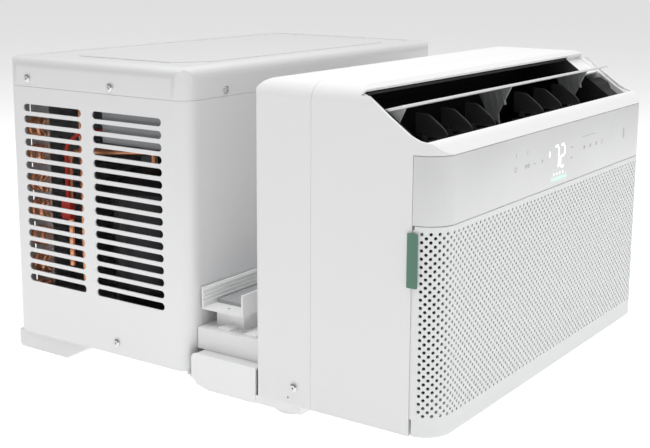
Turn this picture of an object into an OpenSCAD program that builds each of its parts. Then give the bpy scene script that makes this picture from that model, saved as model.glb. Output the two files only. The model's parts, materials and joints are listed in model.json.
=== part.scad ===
// Saddle-type window air conditioner.
// The indoor unit and the outdoor cabinet hang on either side of a window sill and
// are joined under the sash by a low neck.
// X runs to the right as seen from the room, Y runs outdoors, Z runs up.
// The origin is the middle of the neck's underside, where the window sill carries it.

/* [Overall] */
// Width of the indoor unit
in_w = 542; // [480:1:660]
// Depth of the indoor unit
in_d = 222; // [210:1:270]
// Height of the indoor unit
in_h = 343; // [325:1:415]
// Height of the indoor unit's underside above the sill
in_lift = 10; // [8:1:14]
// Width of the outdoor cabinet
out_w = 538; // [500:1:650]
// Depth of the outdoor cabinet
out_d = 288; // [270:1:350]
// Height of the outdoor cabinet
out_h = 343; // [320:1:415]
// Height of the outdoor cabinet's lower edge above the sill
out_lift = 13; // [11:1:16]
// Width of the slot that the window sash closes into
gap_d = 94; // [78:1:115]
// How far the feet stand below the sill face
foot_drop = 10; // [6:1:14]

/* [Indoor casing] */
// Wall of the moulded casing
wall = 3; // [2.5:0.1:3.4]
// Wall of the grille and the display panel
panel_wall = 2.5; // [2:0.1:3]
// Radius of the upright front corners
corner_r = 31; // [27:1:36]
// Radius of the upright back corners
back_corner_r = 8; // [6:1:12]
// Radius of the long top edges
top_r = 20; // [18:1:22]
// Distance from the front face to the seam of the two casing halves
split_y = 149; // [140:1:165]
// Distance from the front face to the front casing's front edge
shell_y = 31; // [30:0.5:33]
// Distance from the front face to the crease at the top
crease_y = 94; // [92:1:98]
// Distance from the top down to the display panel's upper edge
lip_drop = 62; // [60:1:66]
// Height of the display panel
display_h = 68; // [56:1:80]
// Half width of the air outlet
outlet_x = 262; // [225:1:262]
// Small gap left between casing parts
seam = 0.3; // [0.3:0.05:0.5]

/* [Air grille] */
// Diameter of the openings
hole_d = 10; // [6:0.5:13]
// Pitch of the openings across
hole_px = 27; // [20:1:36]
// Pitch of the openings up and down
hole_pz = 24.3; // [18:0.1:32]

/* [Air filter] */
// Thickness of the filter frame
filter_t = 2.4; // [2:0.1:2.6]
// Width of the filter frame's bars
filter_bar = 9; // [7:1:12]
// Length of the pull tab
tab_h = 54; // [44:1:66]
// Height of the pull tab's lower end above the indoor unit's underside
tab_z = 152; // [120:1:152]

/* [Outlet flap] */
// Depth of the flap, front edge to back edge
flap_depth = 71; // [64:0.5:71]
// Thickness of the flap
flap_t = 3; // [2.4:0.1:3.5]
// Slope of the flap when it is shut
flap_slope = 33.4; // [33:0.1:34]
// Angle between the flap's shut and open positions
flap_swing = 48.4; // [40:0.1:49]
// Distance from the flap's front edge back to its pivot
pivot_u = 32.8; // [31:0.1:33]
// Distance from the flap's outer face down to its pivot
pivot_v = 41.3; // [40:0.1:43]
// Thickness of an arm
arm_t = 3.5; // [3:0.1:5]
// Diameter of the arms' pivot pins
pin_d = 5; // [4:0.1:6]
// Radial clearance of the running pins
fit = 0.06; // [0.03:0.01:0.09]

/* [Air vanes] */
// Distance between neighbouring vanes
vane_pitch = 52; // [44:1:56]
// Thickness of a vane
vane_t = 2.2; // [1.6:0.1:3]
// Diameter of a vane's pivot pin
vane_pin_d = 4; // [3:0.1:4.6]
// Distance from a vane's pivot forward to its link pin
crank = 18; // [15:0.5:19]

/* [Cross-flow blower] */
// Radius of the blower
blower_r = 48; // [40:1:50]
// Number of blower blades
blower_blades = 30; // [20:1:36]
// Diameter of the blower shaft
shaft_d = 8; // [6:0.5:10]

/* [Neck and sash channel] */
// Width of the neck's base
neck_w = 540; // [480:1:640]
// Height of the neck's base
neck_h = 40; // [36:1:44]
// Width of the neck's cover
cover_w = 510; // [450:1:560]
// Height of the neck's cover above its base
cover_h = 25; // [20:1:27]
// Wall of the neck
neck_wall = 2.5; // [2:0.1:3]
// Length of the sash channel
channel_w = 500; // [440:1:540]
// Depth of the sash channel
channel_d = 59; // [50:1:66]
// Height of the sash channel's flanges
channel_h = 25; // [18:1:32]
// Wall of the sash channel
channel_wall = 2.5; // [2:0.1:3.2]
// Height of the posts under the sash channel
post_h = 20; // [14:1:24]

/* [Outdoor cabinet] */
// Wall of the outdoor cabinet
sheet = 1.6; // [1.2:0.1:2]
// Radius of the cabinet's upright corners
cab_r = 22; // [18:1:28]
// Height of the top cover's skirt
lid_h = 36; // [32:1:42]
// Radius of the top cover's upper edges
lid_r = 14; // [10:1:16]
// Rise of the panel pressed into the top cover
emboss = 2.5; // [1.5:0.1:3.5]
// Height of a louvre slot
slot_h = 9; // [7:0.5:10]
// Pitch of the louvre slots
slot_pitch = 14; // [12.5:0.1:15]
// Number of louvre slots in a column
slot_count = 16; // [10:1:17]
// Length of the slots nearer the window
slot_front_l = 106; // [90:1:110]
// Length of the slots nearer the back
slot_back_l = 97; // [80:1:100]

/* [Outdoor machinery] */
// Radius of the condenser fan, over its slinger ring
fan_r = 122; // [100:1:124]
// Radial clearance between the slinger ring and the shroud
fan_gap = 5; // [4:0.5:8]
// Number of condenser fan blades
fan_blades = 5; // [3:1:7]
// Radius of the compressor
comp_r = 56; // [48:1:60]
// Height of the compressor's straight wall
comp_h = 150; // [120:1:160]
// Pitch of the fins that are drawn in each coil
fin_pitch = 6; // [5:0.5:10]
// Thickness of a coil fin
fin_t = 1; // [0.8:0.1:1.4]

/* [Fasteners] */
// Diameter of a screw head
screw_head_d = 9; // [7:0.5:10]
// Diameter of a screw shank
screw_d = 4; // [3:0.1:4.5]

/* [Hidden] */
$fn = 48;
corner_steps = 8;
in_y = -(gap_d / 2 + in_d);
out_y = gap_d / 2;
panel_top = in_h - lip_drop;
grille_top = panel_top - display_h;
lid_z = out_h - lid_h;
pan_t = 2.5;
pan_x = out_w / 2 - sheet - seam;
rim_rise = 1;

// Slanted top front of the indoor unit as [distance behind the front face, drop from the top]
slant = [[0, lip_drop], [7, 56], [13, 50.6], [24, 48.4], [35, 43.5], [57, 28], [77, 13], [crease_y, 0]];
// Outlet lip edge, and the inward normal of the slanted face
lip_y = 19;
slant_in = [sin(flap_slope), -cos(flap_slope)];
flap_front = [21, in_h - 49];
pivot = flap_front + [cos(flap_slope) * pivot_u + sin(flap_slope) * pivot_v,
                      sin(flap_slope) * pivot_u - cos(flap_slope) * pivot_v];
arm_x = [-(outlet_x - 12), -20, outlet_x - 67];
flap_x = outlet_x - 2;
flap_strip = 16;
wall_x = in_w / 2 - wall;
shelf_u = 50;
shelf_sunk = 7;

// Duct and blower
duct_x0 = -(outlet_x - 5);
duct_x1 = outlet_x - 40;
duct_t = 2.4;
blower_at = [in_d - 87, in_h - 138];
scroll_r = blower_r + 11;
floor_z = in_h - 64;
rail_t = 3.5;
vane_y = 58;
vane_z = floor_z + rail_t + 5.5;
vane_groups = [-(outlet_x - 110), outlet_x - 190];
rail_w = 2 * vane_pitch + 48;

// Coils
evap_x0 = -(in_w / 2 - 31);
evap_x1 = duct_x1 - 15;
evap_y = 38;
evap_t = 36;
evap_z = 30;
evap_h = in_h - 173;
cond_x = out_w / 2 - 24;
cond_y = out_d - 46;
cond_t = 30;
cond_z = 12;
cond_h = out_h - 50;
fin_spine = 1.5;

// Neck
cover_top = neck_h + cover_h;
channel_y = out_y - 2.5 - channel_d;
channel_z = cover_top + post_h;
post_x = [-(channel_w / 2 - 28), -channel_w / 6, channel_w / 6, channel_w / 2 - 28];
pan_front_y = -gap_d / 2 - 60;
trough_end_y = out_y - 3;

// Outdoor layout, in the cabinet's own frame
fan_at = [out_w / 2 - 208, 152];
shroud_y = cond_y - 26;
shroud_t = 2;
fan_y = shroud_y - 22;
fan_hub_h = 30;
motor_l = 70;
motor_r = 45;
motor_y = fan_y - 32 - motor_l;
shroud_x0 = fan_at[0] - fan_r - fan_gap - 20;
comp_at = [-(out_w / 2 - 86), 118];
comp_z = 14;
acc_at = comp_at + [62, 62];
acc_r = 24;
acc_h = 110;
slot_top = lid_z - 21;
slot_front_y = 36;
slot_back_y = slot_front_y + slot_front_l + 18;

// Screws: the lid's on [x, y] of a side wall or the front wall, in the cabinet's frame
lid_screw_y = [112, out_d - 40];
lid_screw_z = [lid_z + 8, lid_z + 10];
front_screw_x = out_w / 2 - 68;
front_screw_z = lid_z + 7;
low_screw_y = 112;
low_screw_z = 15;
shell_screw_at = [in_d - 52, 20];

// Gland that the power cord comes out of, in the indoor unit's floor
gland_at = [in_w / 2 - 71, split_y - 27];
gland_r = 9;

// ---------- Helpers ----------

module indoor() translate([0, in_y, in_lift]) children();
module outdoor() translate([0, out_y, out_lift]) children();
// A [Y, Z] outline drawn out along X, from x0 to x1
module along_x(x0, x1) translate([x0, 0, 0]) rotate([90, 0, 90]) linear_extrude(x1 - x0) children();
// An [X, Z] outline drawn out along Y, from y0 to y1
module along_y(y0, y1) translate([0, y1, 0]) rotate([90, 0, 0]) linear_extrude(y1 - y0) children();
// A cylinder along X or Y, from a to b
module rod_x(a, b, y, z, r) translate([a, y, z]) rotate([0, 90, 0]) cylinder(h = b - a, r = r);
module rod_y(a, b, x, z, r) translate([x, a, z]) rotate([-90, 0, 0]) cylinder(h = b - a, r = r);

function arc(c, r, a0, a1, n) = [for (i = [0:n])
    c + r * [cos(a0 + (a1 - a0) * i / n), sin(a0 + (a1 - a0) * i / n)]];

// Rounded rectangle, from y = 0 to y = d, inset by e all round
module plan_outline(w, d, r_front, r_back, e = 0) polygon(concat(
    arc([w / 2 - r_front, r_front], r_front - e, -90, 0, corner_steps),
    arc([w / 2 - r_back, d - r_back], r_back - e, 0, 90, corner_steps),
    arc([-w / 2 + r_back, d - r_back], r_back - e, 90, 180, corner_steps),
    arc([-w / 2 + r_front, r_front], r_front - e, 180, 270, corner_steps)));

// Rectangle with its two upper corners rounded, from y = 0 to y = h, inset by e
module arch_outline(x0, x1, h, r, e = 0) polygon(concat([[x0 + e, e], [x1 - e, e]],
    arc([x1 - r, h - r], r - e, 0, 90, corner_steps),
        arc([x0 + r, h - r], r - e, 90, 180, corner_steps)));

// Side outline of the indoor unit, inset by e
module side_outline(e = 0) {
    n = slant_in * e;
    polygon(concat([[in_d - e, e]], arc([in_d - top_r, in_h - top_r], top_r - e, 0, 90, corner_steps),
                   [[crease_y + e / 3, in_h - e]],
                   [for (i = [len(slant) - 2:-1:1]) [slant[i][0] + n[0], in_h - slant[i][1] + n[1]]],
                   [[e, panel_top - e * 0.8], [e, e]]));
}

// Whole rounded body of the indoor unit, inset by e
module indoor_body(e = 0) intersection() {
    translate([0, 0, e]) linear_extrude(in_h - 2 * e)
        plan_outline(in_w, in_d, corner_r, back_corner_r, e);
    along_y(e, in_d - e) arch_outline(-in_w / 2, in_w / 2, in_h, top_r, e);
    along_x(-in_w / 2 + e, in_w / 2 - e) side_outline(e);
}

// Wall of thickness t that follows a line of points, with mitred corners
function corner_normal(pts, i) =
    let (n = len(pts) - 1,
         a = unit(pts[max(i, 1)] - pts[max(i, 1) - 1]),
         b = unit(pts[min(i + 1, n)] - pts[min(i, n - 1)]),
         m = unit(a + b))
    [-m[1], m[0]] / (m * a);
module wall_path(pts, t) polygon(concat(
    [for (i = [0:len(pts) - 1]) pts[i] + corner_normal(pts, i) * t / 2],
    [for (i = [len(pts) - 1:-1:0]) pts[i] - corner_normal(pts, i) * t / 2]));

// Points of a route with each corner turned into a smooth bend that starts at distance b from it
function bent(pts, b) = concat([pts[0]], [for (i = [1:len(pts) - 2])
    let (p = pts[i], u = pts[i - 1] - p, v = pts[i + 1] - p,
         k = min(b, norm(u) * 0.45, norm(v) * 0.45), a = p + u / norm(u) * k, c = p + v / norm(v) * k)
    for (t = [0:0.25:1]) a * (1 - t) * (1 - t) + p * 2 * t * (1 - t) + c * t * t], [pts[len(pts) - 1]]);

function unit(v) = v / norm(v);
// Side vector of each ring of a swept tube, carried along without twist
function carried(dirs, side, i = 0) = i == len(dirs) ? [] :
    let (s = unit(side - dirs[i] * (side * dirs[i]))) concat([s], carried(dirs, s, i + 1));

// Pipe of radius r along a route, with bends of size b
module pipe(route, r, b) {
    n = 12;
    pts = bent(route, b);
    last = len(pts) - 1;
    dirs = [for (i = [0:last]) unit(unit(pts[min(i + 1, last)] - pts[min(i, last - 1)])
                                  + unit(pts[max(i, 1)] - pts[max(i - 1, 0)]))];
    sides = carried(dirs, abs(dirs[0][0]) < 0.8 ? [1, 0, 0] : [0, 1, 0]);
    polyhedron([for (i = [0:last]) let (w = cross(dirs[i], sides[i]))
                    for (j = [0:n - 1])
                        pts[i] + r * (sides[i] * cos(j * 360 / n) + w * sin(j * 360 / n))],
               concat([[for (j = [0:n - 1]) j]], [[for (j = [n - 1:-1:0]) last * n + j]],
                      [for (i = [0:last - 1], j = [0:n - 1])
                          [i * n + j, (i + 1) * n + j, (i + 1) * n + (j + 1) % n,
                              i * n + (j + 1) % n]]));
}

// Finned block of width w, depth d and height h, its fins joined along y = 0
module fin_pack(w, d, h) {
    n = floor((w - fin_t) / fin_pitch);
    step = (w - fin_t) / n;
    linear_extrude(h) polygon(concat([[w, 0], [0, 0]],
        [for (i = [0:n]) each concat(i == 0 ? [] : [[i * step, fin_spine]],
            [[i * step, d], [i * step + fin_t, d]],
            i == n ? [] : [[i * step + fin_t, fin_spine]])]));
}

// Return bend of a coil: half a ring in the Y-Z plane that stands out along X
module return_bend(r_bend, r_tube) rotate([0, 90, 0]) rotate([90, 0, 0]) rotate_extrude(angle = 180)
    translate([r_bend, 0]) circle(r_tube, $fn = 20);

// Pan-head screw along +Z, its head's seat at z = 0
module screw(len) difference() {
    union() {
        cylinder(h = 1.6, d = screw_head_d);
        translate([0, 0, 1.6]) cylinder(h = 1, d1 = screw_head_d, d2 = screw_head_d * 0.62);
        translate([0, 0, -len]) cylinder(h = len + 0.1, d = screw_d);
    }
    for (a = [0, 90]) rotate(a) translate([-screw_head_d / 4, -0.55, 1.2])
        cube([screw_head_d / 2, 1.1, 2]);
}

// The cabinet lid's screw places as a transform: the head looks along local +Z
module at_lid_screws() {
    for (s = [-1, 1], i = [0, 1])
        translate([s * out_w / 2, lid_screw_y[i], lid_screw_z[i]]) rotate([0, s * 90, 0]) children();
    for (s = [-1, 1]) translate([s * front_screw_x, 0, front_screw_z]) rotate([90, 0, 0]) children();
}

module at_low_screws() for (s = [-1, 1])
    translate([s * out_w / 2, low_screw_y, low_screw_z]) rotate([0, s * 90, 0]) children();

module at_shell_screws() for (s = [-1, 1])
    translate([s * in_w / 2, shell_screw_at[0], shell_screw_at[1]]) rotate([0, s * 90, 0]) children();

module screw_hole() translate([0, 0, -12]) cylinder(h = 20, d = screw_d + 0.6);

// ---------- Indoor casing ----------

// Places children on the shut flap's plane: local Y runs up the slope and local Z out of it
module on_slope() translate([0, flap_front[0], flap_front[1]]) rotate([flap_slope, 0, 0]) children();

// Mouth of the air outlet, as wide as the inside of the casing
module outlet_cut() intersection() {
    linear_extrude(2 * in_h) plan_outline(in_w, in_d, corner_r, back_corner_r, wall);
    along_x(-in_w / 2, in_w / 2) polygon([[lip_y, in_h - 20], [lip_y, in_h - 75], [75, in_h - 75],
        [crease_y + 0.2, in_h - 12.9], [crease_y - 10.8, in_h + 3.8], [60, in_h + 9]]);
}

module front_shell() color("white") indoor() {
    difference() {
        indoor_body();
        indoor_body(wall);
        translate([-in_w, split_y, -1]) cube([2 * in_w, in_d, in_h + 2]);
        translate([-in_w, -1, -1]) cube([2 * in_w, shell_y + 1, panel_top + 1 + seam]);
        outlet_cut();
        translate([gland_at[0], gland_at[1], -1]) cylinder(h = wall + 2, r = gland_r);
    }
    intersection() {
        indoor_body(wall - 0.5);
        on_slope() {
            // Flared cheeks of the outlet, down to the ends of the duct and of the motor's shield
            along_y(-1, 84) polygon([[-wall_x - 0.4, 1], [-wall_x, 1], [duct_x0 - seam, -12],
                [duct_x0 - seam, -14.5], [duct_x0 - 1.5, -14.5], [-wall_x - 0.4, -3]]);
            along_y(-1, 84) polygon([[wall_x + 0.4, 1], [wall_x, 1], [outlet_x + seam, -6],
                [outlet_x + seam, -20], [outlet_x + 2.5, -20], [outlet_x + 2.5, -7],
                [wall_x + 0.4, -3]]);
            // Shelf beside the back of the duct, and its riser
            along_y(shelf_u, 84) translate([duct_x1 + seam, -shelf_sunk - 2.4])
                square([outlet_x + 2 - duct_x1, 2.4]);
            along_y(81.5, 84) translate([duct_x1 + seam, -shelf_sunk - 2.4])
                square([outlet_x + 2 - duct_x1, shelf_sunk]);
        }
    }
}

// Bulkhead behind the filter, with the guides that the filter slides in
module filter_bulkhead() color("white") indoor() {
    difference() {
        translate([-wall_x, shell_y, wall]) cube([2 * wall_x, wall, floor_z - duct_t - 2 - wall]);
        translate([evap_x0 + 4, shell_y - 1, evap_z - 2])
            cube([evap_x1 - evap_x0 - 8, wall + 2, evap_h + 4]);
    }
    for (z = [14.2, grille_top - 4]) translate([-in_w / 2 + 40, shell_y - filter_t - 0.3, z])
        cube([in_w - 80, filter_t + 0.4, 3.4]);
}

module rear_shell() color("white") indoor() difference() {
    indoor_body();
    indoor_body(wall);
    translate([-in_w, -1, -1]) cube([2 * in_w, split_y + seam + 1, in_h + 2]);
    translate([-cover_w / 2 + 8, in_d - wall - 1, wall])
        cube([cover_w - 16, wall + 2, neck_h + cover_h - in_lift - 2 * wall]);
    at_shell_screws() screw_hole();
    for (s = [-1, 1]) rod_x(s * in_w / 2 - 5, s * in_w / 2 + 5, in_d - 44, 7.5, 1.2);
}

// A band of the front panel between two heights, its left and right returns ending at given depths
module front_band(z0, z1, left_end, right_end) difference() {
    translate([0, 0, z0]) linear_extrude(z1 - z0) difference() {
        plan_outline(in_w, in_d, corner_r, back_corner_r);
        plan_outline(in_w, in_d, corner_r, back_corner_r, panel_wall);
        translate([-in_w, right_end]) square([2 * in_w, in_d]);
        translate([-in_w, left_end]) square([in_w, in_d]);
    }
}

module display_panel() color("whitesmoke") indoor() {
    front_band(grille_top + seam, panel_top - seam, shell_y - seam, shell_y - seam);
    // Ledge under the lip
    translate([-in_w / 2 + corner_r, panel_wall - 0.5, panel_top - seam - 2])
        cube([in_w - 2 * corner_r, 9, 2]);
}

module front_grille() color("whitesmoke") indoor() difference() {
    union() {
        front_band(0, grille_top - seam, shell_y - filter_t - 0.6, shell_y - seam);
        // Floor of the grille
        linear_extrude(panel_wall) intersection() {
            plan_outline(in_w, in_d, corner_r, back_corner_r, 0.5);
            translate([-in_w, 0]) square([2 * in_w, shell_y - filter_t - 0.6]);
        }
    }
    n = floor((in_w - 2 * corner_r - 8) / hole_px);
    m = floor((grille_top - 36) / (hole_pz / 2));
    for (j = [0:m], i = [0:n - j % 2])
        rod_y(-1, panel_wall + 1, (i - (n - j % 2) / 2) * hole_px, 24 + j * hole_pz / 2, hole_d / 2,
            $fn = 24);
}

module display_board() color("darkgreen") indoor() {
    mid = (panel_top + grille_top) / 2;
    translate([-125, 6, mid - 20]) cube([290, 1.6, 40]);
    translate([-24, panel_wall, mid - 16]) cube([52, 3.5, 32]);
    for (x = [-115, -55, 70, 155], z = [mid - 15, mid + 15]) rod_y(panel_wall, 6, x, z, 3);
    for (x = [-90, 100]) translate([x, 7.6, mid - 12]) cube([24, 6, 18]);
}

// ---------- Filter ----------

filter_y = shell_y - filter_t - 0.3;
filter_x0 = -in_w / 2 + 1;
filter_x1 = in_w / 2 - 14;
filter_z0 = 18;
filter_z1 = grille_top - 4.4;

module filter_frame() color("white") indoor() difference() {
    translate([filter_x0, filter_y, filter_z0])
        cube([filter_x1 - filter_x0, filter_t, filter_z1 - filter_z0]);
    bays = 4;
    bay = (filter_x1 - filter_x0 - filter_bar) / bays;
    for (i = [0:bays - 1])
        translate([filter_x0 + filter_bar + i * bay, filter_y - 1, filter_z0 + filter_bar])
        cube([bay - filter_bar, filter_t + 2, filter_z1 - filter_z0 - 2 * filter_bar]);
}

module filter_mesh() color("dimgray") indoor() {
    bays = 4;
    bay = (filter_x1 - filter_x0 - filter_bar) / bays;
    for (i = [0:bays - 1])
        translate([filter_x0 + filter_bar + i * bay, filter_y + filter_t / 2 - 0.4,
            filter_z0 + filter_bar])
        cube([bay - filter_bar, 0.8, filter_z1 - filter_z0 - 2 * filter_bar]);
}

module filter_tab() color("seagreen") indoor() {
    translate([0, 0, tab_z]) linear_extrude(tab_h) difference() {
        polygon([[-in_w / 2 - 3, shell_y - 5], [-in_w / 2 - 2, shell_y - 7.5],
            [-in_w / 2 - seam, shell_y - 7.5],
            [-in_w / 2 - seam, shell_y + 4], [-in_w / 2 - 2, shell_y + 4],
            [-in_w / 2 - 3, shell_y + 3]]);
    }
    translate([-in_w / 2 - seam, filter_y + 0.3, tab_z + 6])
        cube([1 + seam, filter_t - 0.6, tab_h - 12]);
}

// ---------- Evaporator, duct and blower ----------

module evaporator_fins() color("silver") indoor() {
    translate([evap_x0 + 2, evap_y, evap_z]) fin_pack(evap_x1 - evap_x0 - 4, evap_t, evap_h);
    for (x = [evap_x0, evap_x1 - 2]) translate([x, evap_y - 1, evap_z - 2])
        cube([2, evap_t + 2, evap_h + 4]);
}

module evaporator_tubes() color("chocolate") indoor() {
    n = floor((evap_h - 20) / 34);
    for (i = [0:n - 1], y = [evap_y + 9, evap_y + 27]) {
        translate([evap_x1, y, evap_z + 24 + i * 34]) return_bend(8.5, 4);
        if (i < n - 1) translate([evap_x0, y, evap_z + 41 + i * 34]) mirror([1, 0, 0])
            return_bend(8.5, 4);
    }
}

module drain_tray() color("gainsboro") indoor() difference() {
    translate([evap_x0 - 4, evap_y - 3.5, wall + 3])
        cube([evap_x1 - evap_x0 + 20, evap_t + 8, evap_z - wall - 7]);
    translate([evap_x0 - 2, evap_y - 1.5, wall + 5]) cube([evap_x1 - evap_x0 + 16, evap_t + 4, evap_z]);
}

// Centre lines of the duct's two walls, as [Y, Z]
duct_floor = [[13, in_h - 57.6], [24, in_h - 57.6], [31, floor_z - duct_t / 2],
    [60, floor_z - duct_t / 2],
              [68, in_h - 80], [blower_at[0] - blower_r + 3, blower_at[1] + blower_r - 11],
              [blower_at[0] - blower_r - 2, blower_at[1] + blower_r - 20]];
duct_back = concat([[evap_y + evap_t + 8, evap_z + 4],
    [blower_at[0] - 24, blower_at[1] - scroll_r - 22]],
                   arc(blower_at, scroll_r, -105, 20, 9),
                   [[blower_at[0] + 31, in_h - 45], [blower_at[0] + 15, in_h - 24],
                    [blower_at[0] - 13, in_h - 11.5], [92, in_h - 9.5]]);
cheek = concat([for (i = [1:len(duct_back) - 1]) duct_back[i]],
    [for (i = [1:len(duct_floor) - 1]) duct_floor[i]]);

module air_duct() color("#1c1c1e") indoor() difference() {
    union() {
        along_x(duct_x0, duct_x1) wall_path(duct_back, duct_t);
        along_x(duct_x0, duct_x1) wall_path(duct_floor, duct_t);
        for (x = [duct_x0, duct_x1 - duct_t]) along_x(x, x + duct_t) polygon(cheek);
        // Ears that carry the flap's arms
        for (x = arm_x, s = [-1, 1])
            along_x(x + s * (arm_t / 2 + 2) - 1.5, x + s * (arm_t / 2 + 2) + 1.5) {
            translate(pivot) circle(6);
            polygon([pivot + [-6, 0], pivot + [6, 0], [76, in_h - 87], [68, in_h - 80],
                [61, floor_z - duct_t / 2]]);
        }
    }
    rod_x(duct_x0 - 1, duct_x1 + 1, pivot[0], pivot[1], pin_d / 2 + fit);
    rod_x(duct_x0 - 1, duct_x0 + duct_t + 1, blower_at[0], blower_at[1], 12);
    rod_x(duct_x1 - duct_t - 1, duct_x1 + 1, blower_at[0], blower_at[1], 9);
}

module vane_rails() color("#1c1c1e") indoor() for (g = vane_groups) difference() {
    translate([g - rail_w / 2, 33, floor_z]) cube([rail_w, 27, rail_t]);
    for (i = [-1:1]) translate([g + i * vane_pitch, vane_y, floor_z + 0.5])
        cylinder(h = 20, d = vane_pin_d + 2 * fit);
    translate([g - rail_w / 2 - 1, 36, floor_z + 2]) cube([rail_w + 2, 14, 5]);
}

blower_x0 = duct_x0 + duct_t + 9;
blower_x1 = duct_x1 - duct_t - 6;

module crossflow_fan() color("#26282b") indoor() difference() {
    union() {
        discs = 6;
        for (i = [0:discs]) rod_x(blower_x0 + (blower_x1 - blower_x0 - 3) * i / discs,
            blower_x0 + (blower_x1 - blower_x0 - 3) * i / discs + 3, blower_at[0], blower_at[1],
                blower_r);
        along_x(blower_x0, blower_x1) translate(blower_at) for (a = [0:blower_blades - 1])
            rotate(a * 360 / blower_blades) translate([blower_r - 7, 0]) rotate(28)
                square([11, 1.4], center = true);
    }
    rod_x(blower_x0 - 1, blower_x1 + 1, blower_at[0], blower_at[1], shaft_d / 2);
}

module blower_shaft() color("silver") indoor()
    rod_x(duct_x0 - 1, duct_x1 + 10, blower_at[0], blower_at[1], shaft_d / 2);

module blower_bearing() color("#333333") indoor() difference() {
    rod_x(duct_x0 - 3, duct_x0 + 6, blower_at[0], blower_at[1], 12);
    rod_x(duct_x0 - 4, duct_x0 + 7, blower_at[0], blower_at[1], shaft_d / 2 + fit);
}

module blower_motor() color("gray") indoor() difference() {
    union() {
        rod_x(duct_x1, duct_x1 + 4, blower_at[0], blower_at[1], 34);
        rod_x(duct_x1 + 3, duct_x1 + 38, blower_at[0], blower_at[1], 41);
        for (a = [45:90:315]) rod_x(duct_x1, duct_x1 + 14, blower_at[0] + 44 * cos(a),
            blower_at[1] + 44 * sin(a), 5);
    }
    rod_x(duct_x1 - 1, duct_x1 + 16, blower_at[0], blower_at[1], shaft_d / 2 + fit);
}

// ---------- Flap and vanes ----------

// Places a [Y, Z] outline drawn about the pivot with the flap lying along +Y
module flap_frame(x0, x1) indoor() along_x(x0, x1) translate(pivot) rotate(flap_slope - flap_swing)
    children();

// Blade: its front strip covers the whole mouth, and the rest fits between the ends of the duct
module flap_blade() color("white") {
    flap_frame(-flap_x, flap_x) translate([-pivot_u, pivot_v - flap_t]) square([flap_strip, flap_t]);
    flap_frame(duct_x0 + duct_t + 1, duct_x1 - duct_t - 1) {
        translate([-pivot_u, pivot_v - flap_t]) square([flap_depth - flap_t / 2, flap_t]);
        translate([-pivot_u + flap_depth - flap_t / 2, pivot_v - flap_t / 2]) circle(flap_t / 2);
    }
}

module flap_arms() color("lightgray") for (x = arm_x) difference() {
    union() {
        flap_frame(x - arm_t / 2, x + arm_t / 2) {
            circle(5.5);
            polygon([[-5.4, -1], [-7, 12], [-pivot_u + 3, pivot_v - flap_t],
                [-pivot_u + 44, pivot_v - flap_t],
                     [6.5, 16], [5.4, 0]]);
        }
        flap_frame(x - arm_t / 2 - 5, x == arm_x[2] ? x + arm_t / 2 : x + arm_t / 2 + 5)
            circle(pin_d / 2);
        // Stiffening ribs on both faces
        for (u = [-18, -10, -2, 6]) flap_frame(x - arm_t / 2 - 0.6, x + arm_t / 2 + 0.6)
            translate([u, 20]) square([1.2, pivot_v - flap_t - 20]);
    }
}

module flap_shaft() color("silver") flap_frame(arm_x[2] + arm_t / 2, duct_x1 + 8) circle(pin_d / 2);

module flap_motor() color("silver") indoor() difference() {
    union() {
        rod_x(duct_x1 + seam, duct_x1 + 19, pivot[0], pivot[1], 14);
        translate([duct_x1 + 4, pivot[0] + 10, pivot[1] - 8]) cube([12, 9, 16]);
    }
    rod_x(duct_x1, duct_x1 + 9, pivot[0], pivot[1], pin_d / 2 + fit);
}

// Shield between the end of the duct and the right cheek, under the end of the flap
module flap_motor_cover() color("#4a4c50") indoor() along_x(duct_x1 + seam, outlet_x - seam) {
    wall_path([[17, in_h - 61.5], [24, in_h - 61.5], [32, in_h - 58.5], [46, in_h - 48],
        [50, in_h - 40], [60, in_h - 35], [84, in_h - 38], [118, in_h - 46]], 1.8);
}

// Outline of a vane, as [Y, Z] about its pivot and foot
vane_shape = [[9, 0], [10, 23.8], [-1, 23.8], [-8, 20.4], [-20, 11.5], [-26, 5], [-25, 1.5], [-22, 0]];

module vane(group, i) color("#2b2d30") indoor()
    translate([vane_groups[group] + i * vane_pitch, vane_y, vane_z]) {
    along_x(-vane_t / 2, vane_t / 2) polygon(vane_shape);
    // Foot and pivot pin
    translate([0, 0, -4.5]) cylinder(h = 6, d = 8);
    translate([0, 0, -5.5 - rail_t + 1]) cylinder(h = rail_t + 5, d = vane_pin_d);
    // Link pin
    translate([0, -crank, -6]) cylinder(h = 7, d = 3);
}

module vane_1() vane(0, -1);
module vane_2() vane(0, 0);
module vane_3() vane(0, 1);
module vane_4() vane(1, -1);
module vane_5() vane(1, 0);
module vane_6() vane(1, 1);

module vane_link(g) color("#1c1c1e") indoor() difference() {
    translate([g - vane_pitch - 4, vane_y - crank - 3, vane_z - 4]) cube([2 * vane_pitch + 8, 6, 2.4]);
    for (i = [-1:1]) translate([g + i * vane_pitch, vane_y - crank, vane_z - 5])
        cylinder(h = 5, d = 3 + 2 * fit);
}

module vane_link_left() vane_link(vane_groups[0]);
module vane_link_right() vane_link(vane_groups[1]);

// ---------- Neck, base and feet ----------

module neck_cover() color("white") difference() {
    union() {
        translate([-cover_w / 2, -gap_d / 2 + seam, neck_h]) cube([cover_w, gap_d - 2 * seam, cover_h]);
        for (x = post_x) translate([x - 14, channel_y + 10, cover_top - 0.5])
            cube([28, channel_d - 20, post_h + 0.5]);
        // Clips near the ends
        for (s = [-1, 1], y = [-gap_d / 2 + 14, 4])
            translate([s * (cover_w / 2 - 17) - 13, y, cover_top - 0.5])
            cube([26, 16, 4]);
    }
    translate([-cover_w / 2 + neck_wall, -gap_d, neck_h - 1])
        cube([cover_w - 2 * neck_wall, 2 * gap_d, cover_h - neck_wall + 1]);
    for (x = post_x) translate([x - 11.5, channel_y + 12.5, cover_top - 5])
        cube([23, channel_d - 25, post_h + 2.5]);
}

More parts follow.
